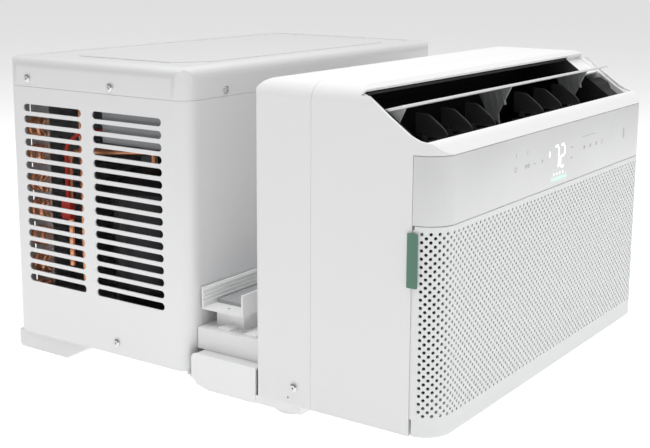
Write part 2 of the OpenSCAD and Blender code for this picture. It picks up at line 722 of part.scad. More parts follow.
module sash_channel() color("white") difference() {
    translate([-channel_w / 2, channel_y, channel_z]) union() {
        cube([channel_w, channel_d, channel_wall]);
        for (y = [0, channel_d - channel_wall]) translate([0, y, 0])
            cube([channel_w, channel_wall, channel_h]);
        // Gripping ribs on the inner face of the outdoor flange
        for (z = [8, 12.5, 17, 21.5]) translate([0, channel_d - channel_wall - 1.2, z])
            cube([channel_w, 1.3, 1.8]);
    }
    for (s = [-1, 1]) translate([s * (channel_w / 2 - 12), channel_y + channel_d / 2, channel_z - 1])
        cylinder(h = channel_wall + 2, d = screw_d + 1);
}

module sash_gasket() color("dimgray")
    translate([-channel_w / 2 + 24, channel_y + channel_wall + seam, channel_z + channel_wall])
    cube([channel_w - 48, channel_d - 2 * channel_wall - 1.2 - 2 * seam, 4]);

// Outline of the base's side wall in the neck, as [Y, Z]
module trough_side() {
    r = 7;
    polygon([[-gap_d / 2, 0], [trough_end_y - 24, 0], [trough_end_y - 8, 4], [trough_end_y, out_lift],
             [trough_end_y, neck_h - r], [trough_end_y - r, neck_h], [-gap_d / 2, neck_h]]);
    translate([trough_end_y - r, neck_h - r]) circle(r);
}

module base_pan() color("#e8e8ea") difference() {
    union() {
        // Neck trough: floor, and the two side walls
        translate([-neck_w / 2, pan_front_y, 0]) cube([neck_w, trough_end_y - 24 - pan_front_y, pan_t]);
        for (x = [-neck_w / 2, neck_w / 2 - neck_wall]) along_x(x, x + neck_wall)
            intersection() {
                trough_side();
                translate([-gap_d / 2 + seam, -1]) square([gap_d, neck_h + 2]);
            }
        // Ledge that the neck cover sits on
        for (s = [-1, 1]) translate([s > 0 ? cover_w / 2 - 6 : -neck_w / 2, -gap_d / 2 + seam,
            neck_h - neck_wall])
            cube([(neck_w - cover_w) / 2 + 6, trough_end_y + gap_d / 2 - seam - 7, neck_wall]);
        // Rim that carries the indoor unit
        difference() {
            translate([-neck_w / 2, pan_front_y, 0]) cube([neck_w, -gap_d / 2 - pan_front_y, in_lift]);
            translate([-neck_w / 2 + neck_wall, pan_front_y + neck_wall, pan_t])
                cube([neck_w - 2 * neck_wall, -gap_d / 2 - pan_front_y, in_lift]);
        }
        // Step up to the outdoor tray
        along_x(-pan_x, pan_x) polygon([[trough_end_y - 24.1, 0], [trough_end_y - 8, 4],
            [out_y + 7, out_lift - seam],
            [out_y + sheet + seam, out_lift - seam], [trough_end_y - 9, 4 + pan_t],
            [trough_end_y - 24.1, pan_t]]);
        translate([-out_w / 2 + cab_r + 1, out_y + sheet + seam, out_lift - 2])
            cube([out_w - 2 * cab_r - 2, 5, pan_t + 2]);
        // Outdoor tray: floor and upturned rim
        outdoor() difference() {
            linear_extrude(20) plan_outline(out_w, out_d, cab_r, cab_r, sheet + seam);
            translate([0, 0, pan_t]) linear_extrude(20)
                plan_outline(out_w, out_d, cab_r, cab_r, sheet + seam + 1.8);
            translate([-out_w, -1, pan_t]) cube([2 * out_w, 14, 30]);
            translate([-out_w, out_d - 24, pan_t]) cube([2 * out_w, 40, 30]);
        }
    }
    outdoor() at_low_screws() screw_hole();
    outdoor() translate([40, out_d - 60, -5]) cylinder(h = 20, r = 9);
    // Keeps the rim in front of the sill a little higher than the sill face
    translate([-neck_w, pan_front_y - 1, -1])
        cube([2 * neck_w, -gap_d / 2 + 4 - pan_front_y, 1 + rim_rise]);
}

module support_feet() color("#e8e8ea") {
    // Outdoor feet, sloped at the front
    for (x = [-out_w / 2 + 2, out_w / 2 - 62]) along_x(x, x + 60)
        polygon([[out_y + out_d - 4, out_lift], [out_y + out_d - 4, -foot_drop + 4],
            [out_y + out_d - 8, -foot_drop],
                 [out_y + out_d - 88, -foot_drop], [out_y + out_d - 132, out_lift]]);
    // Indoor feet, rounded
    for (s = [-1, 1]) translate([s * (neck_w / 2 - 45), -gap_d / 2 - 28, 0]) intersection() {
        translate([0, 0, 40 - foot_drop]) rotate([0, 90, 0]) cylinder(h = 60, r = 40, center = true);
        translate([-30, -30, -foot_drop]) cube([60, 60, foot_drop + rim_rise]);
    }
}

module drain_plug() color("dimgray") outdoor() translate([40, out_d - 60, 0]) {
    translate([0, 0, -5]) cylinder(h = 5, r = 13);
    cylinder(h = pan_t, r = 9);
    translate([0, 0, pan_t]) cylinder(h = 3, r = 11);
}

// ---------- Outdoor cabinet ----------

// One column of louvre slots as a [Y, Z] outline, from y0 to y0 + len
module slot_column(y0, len) for (i = [0:slot_count - 1])
    translate([y0, slot_top - slot_h - i * slot_pitch]) {
    translate([slot_h / 2, 0]) square([len - slot_h, slot_h]);
    for (y = [slot_h / 2, len - slot_h / 2]) translate([y, slot_h / 2]) circle(slot_h / 2, $fn = 24);
}

module cabinet_wrap() color("#f0f0f2") outdoor() difference() {
    union() {
        linear_extrude(lid_z - seam) difference() {
            plan_outline(out_w, out_d, cab_r, cab_r);
            plan_outline(out_w, out_d, cab_r, cab_r, sheet);
        }
        // Collar inside the lid
        translate([0, 0, lid_z - 12]) linear_extrude(26) difference() {
            plan_outline(out_w, out_d, cab_r, cab_r, sheet + seam);
            plan_outline(out_w, out_d, cab_r, cab_r, 2 * sheet + seam);
        }
        translate([0, 0, lid_z - 12]) linear_extrude(6) difference() {
            plan_outline(out_w, out_d, cab_r, cab_r, sheet / 2);
            plan_outline(out_w, out_d, cab_r, cab_r, 2 * sheet);
        }
    }
    // Back opening for the coil
    translate([-out_w / 2 + cab_r + 2, out_d - cab_r, -1])
        cube([out_w - 2 * cab_r - 4, cab_r + 2, lid_z + 40]);
    for (x = [-out_w / 2 - 4, out_w / 2 - 6]) along_x(x, x + 10) {
        slot_column(slot_front_y, slot_front_l);
        slot_column(slot_back_y, slot_back_l);
    }
    // Way through to the neck
    translate([-cover_w / 2 + 8, -1, -1]) cube([cover_w - 16, 12, cover_top - out_lift - 6]);
    at_lid_screws() screw_hole();
    at_low_screws() screw_hole();
}

// Body of the lid, inset by e
module lid_body(e) intersection() {
    linear_extrude(out_h - e) plan_outline(out_w, out_d, cab_r, cab_r, e);
    along_y(0, out_d) arch_outline(-out_w / 2, out_w / 2, out_h, lid_r, e);
    along_x(-out_w / 2, out_w / 2) arch_outline(0, out_d, out_h, lid_r, e);
}

module top_cover() color("white") outdoor() {
    difference() {
        lid_body(0);
        lid_body(sheet);
        translate([-out_w, -out_d, -1]) cube([2 * out_w, 3 * out_d, lid_z + 1]);
        at_lid_screws() screw_hole();
        // Field between the beads, pressed down around the raised panel
        translate([0, 0, out_h - emboss / 2]) linear_extrude(emboss) difference() {
            translate([-out_w / 2 + 26, 26]) square([out_w - 52, out_d - 52]);
            top_panel(6);
        }
    }
    // Underside of the field
    translate([-out_w / 2 + 24, 24, out_h - sheet - 1.4]) cube([out_w - 48, out_d - 48, 1.5]);
}

// Raised panel of the lid, grown by g: corners cut off towards the window
module top_panel(g) polygon([[-out_w / 2 + 52 - g, 62], [-out_w / 2 + 86, 40 - g],
    [out_w / 2 - 86, 40 - g],
    [out_w / 2 - 52 + g, 62], [out_w / 2 - 52 + g, out_d - 80], [out_w / 2 - 100, out_d - 50 + g],
    [-out_w / 2 + 100, out_d - 50 + g], [-out_w / 2 + 52 - g, out_d - 80]]);

module rear_guard() color("#e8e8ea") outdoor() {
    x = out_w / 2 - cab_r - 2 - seam;
    along_y(out_d - 6, out_d - 3) difference() {
        translate([-x, 21]) square([2 * x, lid_z - 36]);
        cols = 16;
        rows = 12;
        cw = (2 * x - 10) / cols;
        ch = (lid_z - 46) / rows;
        for (i = [0:cols - 1], j = [0:rows - 1])
            translate([-x + 6 + i * cw + 1, 27 + j * ch]) square([cw - 4, ch - 4]);
    }
}

// ---------- Outdoor machinery ----------

module condenser_fins() color("silver") outdoor() {
    translate([-cond_x + 2, cond_y, cond_z]) fin_pack(2 * cond_x - 4, cond_t, cond_h);
    for (x = [-cond_x, cond_x - 2]) translate([x, cond_y - 1, cond_z - 5])
        cube([2, cond_t + 2, cond_h + 8]);
}

module condenser_tubes() color("chocolate") outdoor() {
    n = floor((cond_h - 16) / 34);
    for (i = [0:n - 1], y = [cond_y + 8, cond_y + 23]) {
        translate([cond_x, y, cond_z + 22 + i * 34]) return_bend(8.5, 4);
        if (i < n - 1) translate([-cond_x, y, cond_z + 39 + i * 34]) mirror([1, 0, 0])
            return_bend(8.5, 4);
    }
}

module fan_shroud() color("#d5d7da") outdoor() difference() {
    union() {
        translate([shroud_x0, shroud_y, cond_z]) cube([cond_x - shroud_x0, shroud_t, cond_h]);
        rod_y(shroud_y - 26, shroud_y + shroud_t, fan_at[0], fan_at[1], fan_r + fan_gap + 2);
        // Box sides back to the coil
        for (x = [shroud_x0, cond_x - 2]) translate([x, shroud_y, cond_z])
            cube([2, cond_y - shroud_y - 1, cond_h]);
        translate([shroud_x0, shroud_y, cond_z + cond_h - 2])
            cube([cond_x - shroud_x0, cond_y - shroud_y - 1, 2]);
    }
    rod_y(shroud_y - 30, shroud_y + 8, fan_at[0], fan_at[1], fan_r + fan_gap);
}

module condenser_fan() color("#3a3d42") outdoor() translate([fan_at[0], fan_y, fan_at[1]])
    rotate([-90, 0, 0]) difference() {
    union() {
        translate([0, 0, -fan_hub_h / 2]) cylinder(h = fan_hub_h, r = 34);
        intersection() {
            cylinder(h = 4 * fan_hub_h, r = fan_r - 1.5, center = true);
            union() for (i = [0:fan_blades - 1]) rotate(i * 360 / fan_blades)
                translate([fan_r / 2 + 13, 0, 0])
                rotate([27, 0, 0]) linear_extrude(2, center = true) polygon([[-fan_r / 2 + 16, -26],
                    [fan_r / 2 - 18, -40], [fan_r / 2 + 6, 36], [-fan_r / 2 + 16, 22]]);
        }
        rotate_extrude() translate([fan_r - 3, -9]) square([3, 18]);
    }
    translate([0, 0, -fan_hub_h]) cylinder(h = 2 * fan_hub_h, d = shaft_d);
}

module fan_motor() color("gray") outdoor() difference() {
    union() {
        rod_y(motor_y, motor_y + motor_l, fan_at[0], fan_at[1], motor_r);
        rod_y(motor_y - 6, motor_y, fan_at[0], fan_at[1], 18);
        rod_y(motor_y + motor_l, motor_y + motor_l + 7, fan_at[0], fan_at[1], 16);
    }
    rod_y(motor_y + 20, motor_y + motor_l + 8, fan_at[0], fan_at[1], shaft_d / 2 + fit);
}

module fan_motor_shaft() color("silver") outdoor()
    rod_y(motor_y + 21, fan_y + fan_hub_h / 2 + 4, fan_at[0], fan_at[1], shaft_d / 2);

module motor_bracket() color("darkgray") outdoor() {
    for (y = [motor_y + 8, motor_y + motor_l - 18]) difference() {
        along_y(y, y + 10) difference() {
            translate([fan_at[0] - motor_r - 10, pan_t]) square([2 * motor_r + 20, fan_at[1] + 12]);
            translate([fan_at[0] - motor_r + 10, pan_t + 6])
                square([2 * motor_r - 20, fan_at[1] - motor_r - 22]);
        }
        rod_y(y - 1, y + 11, fan_at[0], fan_at[1], motor_r);
        translate([fan_at[0] - motor_r - 20, y - 1, fan_at[1] + 8]) cube([2 * motor_r + 40, 12, 100]);
    }
    translate([fan_at[0] - motor_r - 10, motor_y + 8, pan_t]) cube([2 * motor_r + 20, motor_l - 16, 3]);
}

module compressor() color("#202226") outdoor() translate([comp_at[0], comp_at[1], comp_z]) {
    translate([0, 0, 22]) cylinder(h = comp_h, r = comp_r);
    for (z = [22, 22 + comp_h]) translate([0, 0, z]) intersection() {
        translate([0, 0, z > 50 ? -comp_r * 0.7 : comp_r * 0.7]) sphere(comp_r * 1.22, $fn = 64);
        translate([0, 0, z > 50 ? 0 : -20]) cylinder(h = z > 50 ? 40 : 20.1, r = comp_r);
    }
    // Three-legged base
    difference() {
        linear_extrude(3) {
            circle(comp_r - 12);
            for (a = [30, 150, 270]) rotate(a) translate([0, -13]) square([comp_r + 12, 26]);
            for (a = [30, 150, 270]) rotate(a) translate([comp_r + 12, 0]) circle(13);
        }
        for (a = [30, 150, 270]) rotate(a) translate([comp_r + 12, 0, -1]) cylinder(h = 5, r = 6);
    }
    cylinder(h = 22, r = comp_r - 22);
}

module compressor_mounts() color("#333333") outdoor() for (a = [30, 150, 270])
    translate([comp_at[0], comp_at[1], pan_t]) rotate(a) translate([comp_r + 12, 0, 0]) {
        cylinder(h = comp_z - pan_t, r = 11);
        translate([0, 0, comp_z - pan_t]) cylinder(h = 3, r = 6);
        translate([0, 0, comp_z - pan_t + 3]) cylinder(h = 4, r = 9);
    }

module accumulator() color("#202226") outdoor() translate([acc_at[0], acc_at[1], comp_z + 46]) {
    cylinder(h = acc_h, r = acc_r);
    translate([0, 0, acc_h]) cylinder(h = 12, r1 = acc_r, r2 = 8);
    translate([0, 0, -10]) cylinder(h = 10, r1 = 8, r2 = acc_r);
}

module terminal_cover() color("#101113") outdoor()
    translate([comp_at[0] - 20, comp_at[1] - comp_r - 20, comp_z + 70]) difference() {
        cube([40, 40, 50]);
        translate([20, 20 + comp_r, -50]) cylinder(h = 200, r = comp_r + 0.05);
    }

// Insulated suction line from the evaporator, through the neck, to the accumulator
suction_r = 9;
module suction_line() color("#2a2a2c") {
    y = in_y + evap_y + 28;
    z = in_lift + 22;
    riser = [acc_at[0] + 38, out_y + acc_at[1] - 4];
    pipe([[evap_x0, y, z + 24], [evap_x0 - 16, y, z + 24], [evap_x0 - 16, y, z],
        [evap_x0 - 16, y + 34, z],
          [-cover_w / 2 + 56, -gap_d / 2 - 20, z + 2], [-cover_w / 2 + 56, out_y + 10, z + 4],
          [riser[0], out_y + 26, 42], [riser[0], riser[1], 60],
          [riser[0], riser[1], out_lift + comp_z + acc_h + 74],
          [acc_at[0], out_y + acc_at[1], out_lift + comp_z + acc_h + 78]], suction_r, 20);
}

// Bare copper: liquid line through the neck, and the discharge loop beside the compressor
line_r = 4;
module copper_lines() color("chocolate") {
    y = in_y + evap_y + 8;
    z = in_lift + 8;
    x = -out_w / 2 + 24;
    pipe([[evap_x0, y, z + 38], [evap_x0 - 16, y, z + 38], [evap_x0 - 16, y, z],
        [evap_x0 - 16, y + 56, z],
          [-cover_w / 2 + 32, -gap_d / 2 - 30, z + 2], [-cover_w / 2 + 32, out_y + 4, z + 4],
          [x, out_y + 26, 46], [x, out_y + comp_at[1] + 66, 46],
          [x, out_y + comp_at[1] + 66, out_lift + lid_z - 18]], line_r, 14);
    pipe([[comp_at[0] - 10, out_y + comp_at[1], out_lift + comp_z + comp_h + 51.5],
          [comp_at[0] - 10, out_y + comp_at[1], out_lift + comp_z + comp_h + 66],
          [x - 2, out_y + comp_at[1] + 86, out_lift + comp_z + comp_h + 66],
          [x - 2, out_y + comp_at[1] + 86, out_lift + 90]], line_r, 14);
}

box_at = [-out_w / 2 + 8, 24, lid_z - 58];
box_size = [150, 110, 46];
module control_box() color("#55585c") outdoor() difference() {
    translate(box_at) cube(box_size);
    translate(box_at + [2, 2, 2]) cube(box_size - [4, 4, 1]);
    translate(box_at + [box_size[0] - 30, box_size[1] - 5, -1]) cube([14, 10, 14]);
}

module run_capacitor() color("silver") outdoor() translate(box_at + [40, 55, 2]) {
    cylinder(h = 36, r = 20);
    for (x = [-8, 8]) translate([x - 2, -4, 36]) cube([4, 8, 6]);
}

module wire_harness() color("firebrick") {
    x = -out_w / 2 + 12;
    y = out_y + comp_at[1] + 81;
    translate([x - 4, y - 7, out_lift + 150]) cube([8, 14, 22]);
    pipe([[x, y, out_lift + 172], [x, y, out_lift + 240], [x, y - 30, out_lift + box_at[2] + 12],
          [x + 2, out_y + box_at[1] + box_size[1] + 0.4, out_lift + box_at[2] + 12]], 2.5, 10);
}

module cord_gland() color("#1c1c1e") indoor() translate([gland_at[0], gland_at[1], 0]) difference() {
    union() {
        translate([0, 0, -6]) cylinder(h = 6, r = 13);
        cylinder(h = wall + 3, r = gland_r);
    }
    translate([0, 0, -7]) cylinder(h = wall + 11, r = gland_r / 2);
}

module lid_screws() color("silver") outdoor() {
    at_lid_screws() screw(9);
    at_low_screws() screw(9);
}

module casing_screws() color("silver") indoor() at_shell_screws() screw(8);

front_shell();
rear_shell();
display_panel();
front_grille();
display_board();
filter_bulkhead();
filter_frame();
filter_mesh();
filter_tab();
evaporator_fins();
evaporator_tubes();
drain_tray();
air_duct();
vane_rails();
crossflow_fan();
blower_shaft();
blower_bearing();
blower_motor();
flap_blade();
flap_arms();
flap_shaft();
flap_motor();
flap_motor_cover();
vane_1();
vane_2();
vane_3();
vane_4();
vane_5();
vane_6();
vane_link_left();
vane_link_right();
neck_cover();
sash_channel();
sash_gasket();
base_pan();
support_feet();
drain_plug();
cabinet_wrap();
top_cover();
rear_guard();
condenser_fins();
condenser_tubes();
fan_shroud();
condenser_fan();
fan_motor();
fan_motor_shaft();
motor_bracket();
compressor();
accumulator();
compressor_mounts();
terminal_cover();
suction_line();
copper_lines();
control_box();
run_capacitor();
wire_harness();
cord_gland();
lid_screws();
casing_screws();
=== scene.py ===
"""Saddle-type window air conditioner: the looks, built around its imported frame.

Each sub-assembly of the unit is a class. It takes its places from the frame's own boxes, builds the
pieces that need more shape than the frame gives them, and dresses every frame node in a finish.
"""

import json
import logging
import math
from dataclasses import dataclass, field
from enum import Enum
from typing import Sequence

import bmesh
import bpy
from mathutils import Matrix, Vector

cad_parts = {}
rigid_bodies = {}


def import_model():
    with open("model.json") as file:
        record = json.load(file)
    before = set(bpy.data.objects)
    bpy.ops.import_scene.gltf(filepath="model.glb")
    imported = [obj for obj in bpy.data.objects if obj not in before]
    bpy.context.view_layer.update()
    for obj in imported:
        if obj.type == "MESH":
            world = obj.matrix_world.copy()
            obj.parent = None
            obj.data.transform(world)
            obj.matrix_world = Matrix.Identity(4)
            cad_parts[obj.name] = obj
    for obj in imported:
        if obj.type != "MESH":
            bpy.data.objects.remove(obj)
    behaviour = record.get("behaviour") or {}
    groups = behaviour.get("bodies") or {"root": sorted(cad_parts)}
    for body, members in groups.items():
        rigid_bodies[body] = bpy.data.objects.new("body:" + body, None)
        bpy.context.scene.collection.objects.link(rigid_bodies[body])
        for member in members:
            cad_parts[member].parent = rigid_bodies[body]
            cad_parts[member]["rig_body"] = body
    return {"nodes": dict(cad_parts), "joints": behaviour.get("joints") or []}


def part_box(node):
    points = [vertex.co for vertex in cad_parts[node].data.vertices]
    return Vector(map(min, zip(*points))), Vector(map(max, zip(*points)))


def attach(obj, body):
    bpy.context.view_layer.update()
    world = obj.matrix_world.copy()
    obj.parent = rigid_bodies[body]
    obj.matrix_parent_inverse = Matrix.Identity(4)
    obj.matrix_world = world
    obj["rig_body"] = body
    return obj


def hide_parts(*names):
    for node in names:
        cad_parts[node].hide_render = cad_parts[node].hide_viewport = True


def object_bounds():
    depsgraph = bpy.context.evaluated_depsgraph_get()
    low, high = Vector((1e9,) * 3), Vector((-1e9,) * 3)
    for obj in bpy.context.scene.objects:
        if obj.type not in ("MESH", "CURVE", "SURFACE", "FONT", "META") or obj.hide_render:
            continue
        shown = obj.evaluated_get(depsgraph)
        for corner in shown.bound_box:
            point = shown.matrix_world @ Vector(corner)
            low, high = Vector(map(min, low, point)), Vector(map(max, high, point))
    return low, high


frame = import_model()
CAD_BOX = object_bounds()
LOG = logging.getLogger("window_unit")
MM = 0.001

Point = tuple[float, float, float]
Colour = tuple[float, float, float]


# ---------------------------------------------------------------- shader graph


class Value:
    """A number that varies over a surface. Python arithmetic on it adds Math nodes."""

    def __init__(self, graph: "Graph", socket: bpy.types.NodeSocket) -> None:
        """Wraps an output socket.

        Args:
            graph: The material graph that the socket belongs to.
            socket: The output socket.
        """
        self.graph = graph
        self.socket = socket

    def _math(self, operation: str, first: object, second: object = 0.0) -> "Value":
        """Adds one Math node and returns its result."""
        node = self.graph.add("ShaderNodeMath", {"operation": operation}, {0: first, 1: second})
        return Value(self.graph, node.outputs[0])

    def __add__(self, other: object) -> "Value":
        """Sum."""
        return self._math("ADD", self, other)

    def __sub__(self, other: object) -> "Value":
        """Difference."""
        return self._math("SUBTRACT", self, other)

    def __mul__(self, other: object) -> "Value":
        """Product."""
        return self._math("MULTIPLY", self, other)

    def __rsub__(self, other: object) -> "Value":
        """Difference with the number first."""
        return self._math("SUBTRACT", other, self)

    def __pow__(self, other: object) -> "Value":
        """Power."""
        return self._math("POWER", self, other)

    __radd__ = __add__
    __rmul__ = __mul__

    def sine(self) -> "Value":
        """Sine, in radians."""
        return self._math("SINE", self)

    def larger(self, other: object) -> "Value":
        """The larger of two values."""
        return self._math("MAXIMUM", self, other)

    def apart(self, reach: float) -> "Value":
        """How far beyond a reach the value lies, on either side of 0."""
        return (self._math("ABSOLUTE", self) - reach).larger(0.0)

    def ramp(self, low: float, high: float, start: float = 0.0, end: float = 1.0) -> "Value":
        """Maps low..high to start..end with a smooth step and holds the ends.

        Args:
            low: Input that gives start.
            high: Input that gives end.
            start: Lowest result.
            end: Highest result.

        Returns:
            The mapped value.
        """
        node = self.graph.add(
            "ShaderNodeMapRange",
            {"interpolation_type": "SMOOTHSTEP"},
            {"Value": self, "From Min": low, "From Max": high, "To Min": start, "To Max": end},
        )
        return Value(self.graph, node.outputs[0])


class Graph:
    """The node graph of one material."""

    def __init__(self, name: str) -> None:
        """Starts an empty graph in a new material.

        Args:
            name: The material's name.
        """
        self.material = bpy.data.materials.new(name)
        self.material.use_nodes = True
        self.tree = self.material.node_tree
        self.tree.nodes.clear()
        self.place = self.add("ShaderNodeTexCoord").outputs["Object"]

    def add(
        self, kind: str, settings: dict[str, object] | None = None,
        inputs: dict[object, object] | None = None
    ) -> bpy.types.Node:
        """Adds a node, sets it up and connects it.

        Args:
            kind: The node's type.
            settings: The node's own properties, set before its sockets.
            inputs: Value, socket or constant for each named or numbered input.

        Returns:
            The new node.
        """
        node = self.tree.nodes.new(kind)
        for name, setting in (settings or {}).items():
            setattr(node, name, setting)
        for name, given in (inputs or {}).items():
            if isinstance(given, Value):
                given = given.socket
            if isinstance(given, bpy.types.NodeSocket):
                self.tree.links.new(given, node.inputs[name])
            elif isinstance(given, tuple) and node.inputs[name].type == "RGBA":
                node.inputs[name].default_value = (*given, 1.0)
            else:
                node.inputs[name].default_value = given
        return node

    def stretched(self, scale: Point) -> bpy.types.NodeSocket:
        """Object coordinates multiplied axis by axis, for grain that runs one way."""
        node = self.add("ShaderNodeVectorMath", {"operation": "MULTIPLY"}, {0: self.place, 1: scale})
        return node.outputs[0]

    def noise(self, size: float, detail: float = 2.0, along: Point = (1.0, 1.0, 1.0)) -> Value:
        """Smooth noise.

        Args:
            size: Size of the largest features, in metres.
            detail: Number of finer layers.
            along: Multiplier of each axis; under 1 draws features out along it.

        Returns:
            A value around 0.5.
        """
        inputs = {"Vector": self.stretched(along), "Scale": 1.0 / size, "Detail": detail}
        return Value(self, self.add("ShaderNodeTexNoise", None, inputs).outputs[0])

    def cells(self, size: float) -> Value:
        """Distance to the nearest of scattered points, for specks and hammered grain."""
        node = self.add("ShaderNodeTexVoronoi", None, {"Vector": self.place, "Scale": 1.0 / size})
        return Value(self, node.outputs["Distance"])

    def axis(self, index: int) -> Value:
        """One object coordinate in metres: 0 is X, 1 is Y and 2 is Z."""
        node = self.add("ShaderNodeSeparateXYZ", None, {0: self.place})
        return Value(self, node.outputs[index])

    def mix(self, factor: Value, first: object, second: object) -> bpy.types.NodeSocket:
        """Blends two colours."""
        node = self.add("ShaderNodeMix", {"data_type": "RGBA"}, {0: factor, 6: first, 7: second})
        return node.outputs[2]

    def eased(self, radius: float) -> bpy.types.NodeSocket:
        """Normal that rounds sharp edges off by a small radius in metres."""
        return self.add("ShaderNodeBevel", {"samples": 4}, {"Radius": radius}).outputs[0]

    def bump(
        self, height: Value, distance: float, strength: float = 1.0, normal: object = None
    ) -> bpy.types.NodeSocket:
        """Normal bumped by a height.

        Args:
            height: Height from 0 to 1.
            distance: Real height of 1, in metres.
            strength: Share of the effect.
            normal: Normal that it starts from.

        Returns:
            The bumped normal.
        """
        inputs = {"Height": height, "Distance": distance, "Strength": strength}
        if normal is not None:
            inputs["Normal"] = normal
        return self.add("ShaderNodeBump", None, inputs).outputs[0]

    def close(self, inputs: dict[str, object]) -> bpy.types.Material:
        """Ends the graph in one surface shader and returns the material."""
        shader = self.add("ShaderNodeBsdfPrincipled", None, inputs)
        output = self.add("ShaderNodeOutputMaterial")
        self.tree.links.new(shader.outputs[0], output.inputs[0])
        return self.material


# ---------------------------------------------------------------- finishes


@dataclass(frozen=True)
class Finish:
    """A named surface finish. Each kind paints its own graph, once."""

    name: str
    colour: Colour
    roughness: float = 0.4
    edge: float = 0.5 * MM

    def paint(self, graph: Graph) -> dict[str, object]:
        """Returns the surface shader's inputs."""
        raise NotImplementedError

    def material(self) -> bpy.types.Material:
        """Returns this finish's material, and makes it the first time."""
        made = bpy.data.materials.get(self.name)
        if made is None:
            graph = Graph(self.name)
            made = graph.close(self.paint(graph))
        return made


@dataclass(frozen=True)
class Moulding(Finish):
    """Injection-moulded plastic: a fine spark-eroded grain, faint flow marks and handling smudges."""

    grain: float = 0.7 * MM
    relief: float = 0.03 * MM
    coat: float = 0.0

    def paint(self, graph: Graph) -> dict[str, object]:
        """Returns the surface shader's inputs."""
        flow = graph.noise(0.14, 3.0)
        smudge = graph.noise(0.035, 4.0).ramp(0.45, 0.75)
        darker = tuple(0.955 * c for c in self.colour)
        grain = graph.noise(self.grain, 2.0)
        return {
            "Base Color": graph.mix(flow.ramp(0.35, 0.7), self.colour, darker),
            "Roughness": self.roughness + smudge * 0.07 + grain * 0.05 - 0.03,
            "Coat Weight": self.coat,
            "Coat Roughness": 0.18,
            "Normal": graph.bump(grain, self.relief, 0.6, graph.eased(self.edge)),
        }


@dataclass(frozen=True)
class LitMoulding(Moulding):
    """Panel plastic with a soft glow bleeding through around its lights."""

    glow: Colour = (0.01, 0.07, 0.035)
    middle: Point = (0.0, 0.0, 0.2315)
    half_length: float = 19 * MM
    reach: float = 6 * MM

    def paint(self, graph: Graph) -> dict[str, object]:
        """Returns the surface shader's inputs."""
        inputs = super().paint(graph)
        across = (graph.axis(0) - self.middle[0]).apart(self.half_length)
        up = (graph.axis(2) - self.middle[2]).apart(0.0)
        near = (across * across + up * up).ramp(0.0, self.reach * self.reach, 1.0, 0.0)
        inputs["Emission Color"] = graph.mix(near, (0.0, 0.0, 0.0), self.glow)
        inputs["Emission Strength"] = 1.0
        return inputs


@dataclass(frozen=True)
class Enamel(Finish):
    """Baked enamel on pressed steel: orange peel, soft waviness of the sheet, tiny dust nibs."""

    peel: float = 1.6 * MM

    def paint(self, graph: Graph) -> dict[str, object]:
        """Returns the surface shader's inputs."""
        peel = graph.noise(self.peel, 1.0)
        wave = graph.noise(0.09, 1.0)
        nibs = graph.cells(0.011).ramp(0.05, 0.09, 1.0, 0.0)
        tone = graph.noise(0.2, 2.0).ramp(0.35, 0.7)
        darker = tuple(0.96 * c for c in self.colour)
        waved = graph.bump(wave, 0.5 * MM, 0.35, graph.eased(self.edge))
        peeled = graph.bump(peel + nibs * 0.4, 0.03 * MM, 0.5, waved)
        return {
            "Base Color": graph.mix(tone, self.colour, darker),
            "Roughness": self.roughness + graph.noise(0.04, 3.0).ramp(0.4, 0.7) * 0.08,
            "Normal": peeled,
        }


@dataclass(frozen=True)
class BareMetal(Finish):
    """Bare metal drawn or rolled one way: fine lines and dull patches."""

    lines: Point = (1.0, 1.0, 0.05)
    tarnish: Colour = (0.3, 0.3, 0.3)
    tarnish_share: float = 0.3

    def paint(self, graph: Graph) -> dict[str, object]:
        """Returns the surface shader's inputs."""
        drawn = graph.noise(0.5 * MM, 2.0, self.lines)
        patch = graph.noise(0.018, 4.0).ramp(0.45, 0.7)
        return {
            "Base Color": graph.mix(patch * self.tarnish_share, self.colour, self.tarnish),
            "Metallic": 1.0,
            "Roughness": self.roughness + patch * 0.15 + drawn * 0.08,
            "Normal": graph.bump(drawn, 0.02 * MM, 0.5, graph.eased(self.edge)),
        }


@dataclass(frozen=True)
class Rubber(Finish):
    """Matt rubber or closed-cell foam with a bloom of pale dust."""

    pore: float = 1.2 * MM

    def paint(self, graph: Graph) -> dict[str, object]:
        """Returns the surface shader's inputs."""
        bloom = graph.noise(0.02, 4.0).ramp(0.5, 0.8)
        pores = graph.cells(self.pore)
        paler = tuple(c + 0.05 for c in self.colour)
        return {
            "Base Color": graph.mix(bloom * 0.6, self.colour, paler),
            "Roughness": self.roughness - bloom * 0.1,
            "Normal": graph.bump(pores, 0.15 * MM, 0.5, graph.eased(self.edge)),
        }


@dataclass(frozen=True)
class Net(Finish):
    """Woven dust net: dark threads, with the gaps between them painted darker still as painted shade of the
    dim inside seen through them.
    """

    mesh: float = 1.1 * MM

    def paint(self, graph: Graph) -> dict[str, object]:
        """Returns the surface shader's inputs."""
        turn = 2.0 * math.pi / self.mesh
        warp = (graph.axis(0) * turn).sine()
        weft = (graph.axis(2) * turn).sine()
        thread = warp.larger(weft).ramp(0.35, 0.65)
        return {
            # The weave follows the thread mask; the gaps get a third of the colour, which is painted shade
            # for the see-through openings.
            "Base Color": graph.mix(thread, tuple(0.3 * c for c in self.colour), self.colour),
            "Roughness": 0.9 - thread * 0.25,
            "Normal": graph.bump(thread, 0.3 * MM, 0.7),
        }


@dataclass(frozen=True)
class Laminate(Finish):
    """Circuit laminate under a green mask, with copper tracks showing faintly through."""

    def paint(self, graph: Graph) -> dict[str, object]:
        """Returns the surface shader's inputs."""
        tracks = (graph.axis(2) * 2200.0 + graph.noise(0.02, 0.0) * 9.0).sine().ramp(0.55, 0.7)
        return {
            "Base Color": graph.mix(tracks, self.colour, tuple(1.9 * c for c in self.colour)),
            "Roughness": self.roughness - tracks * 0.1,
            "Normal": graph.bump(tracks, 0.05 * MM, 0.6),
        }


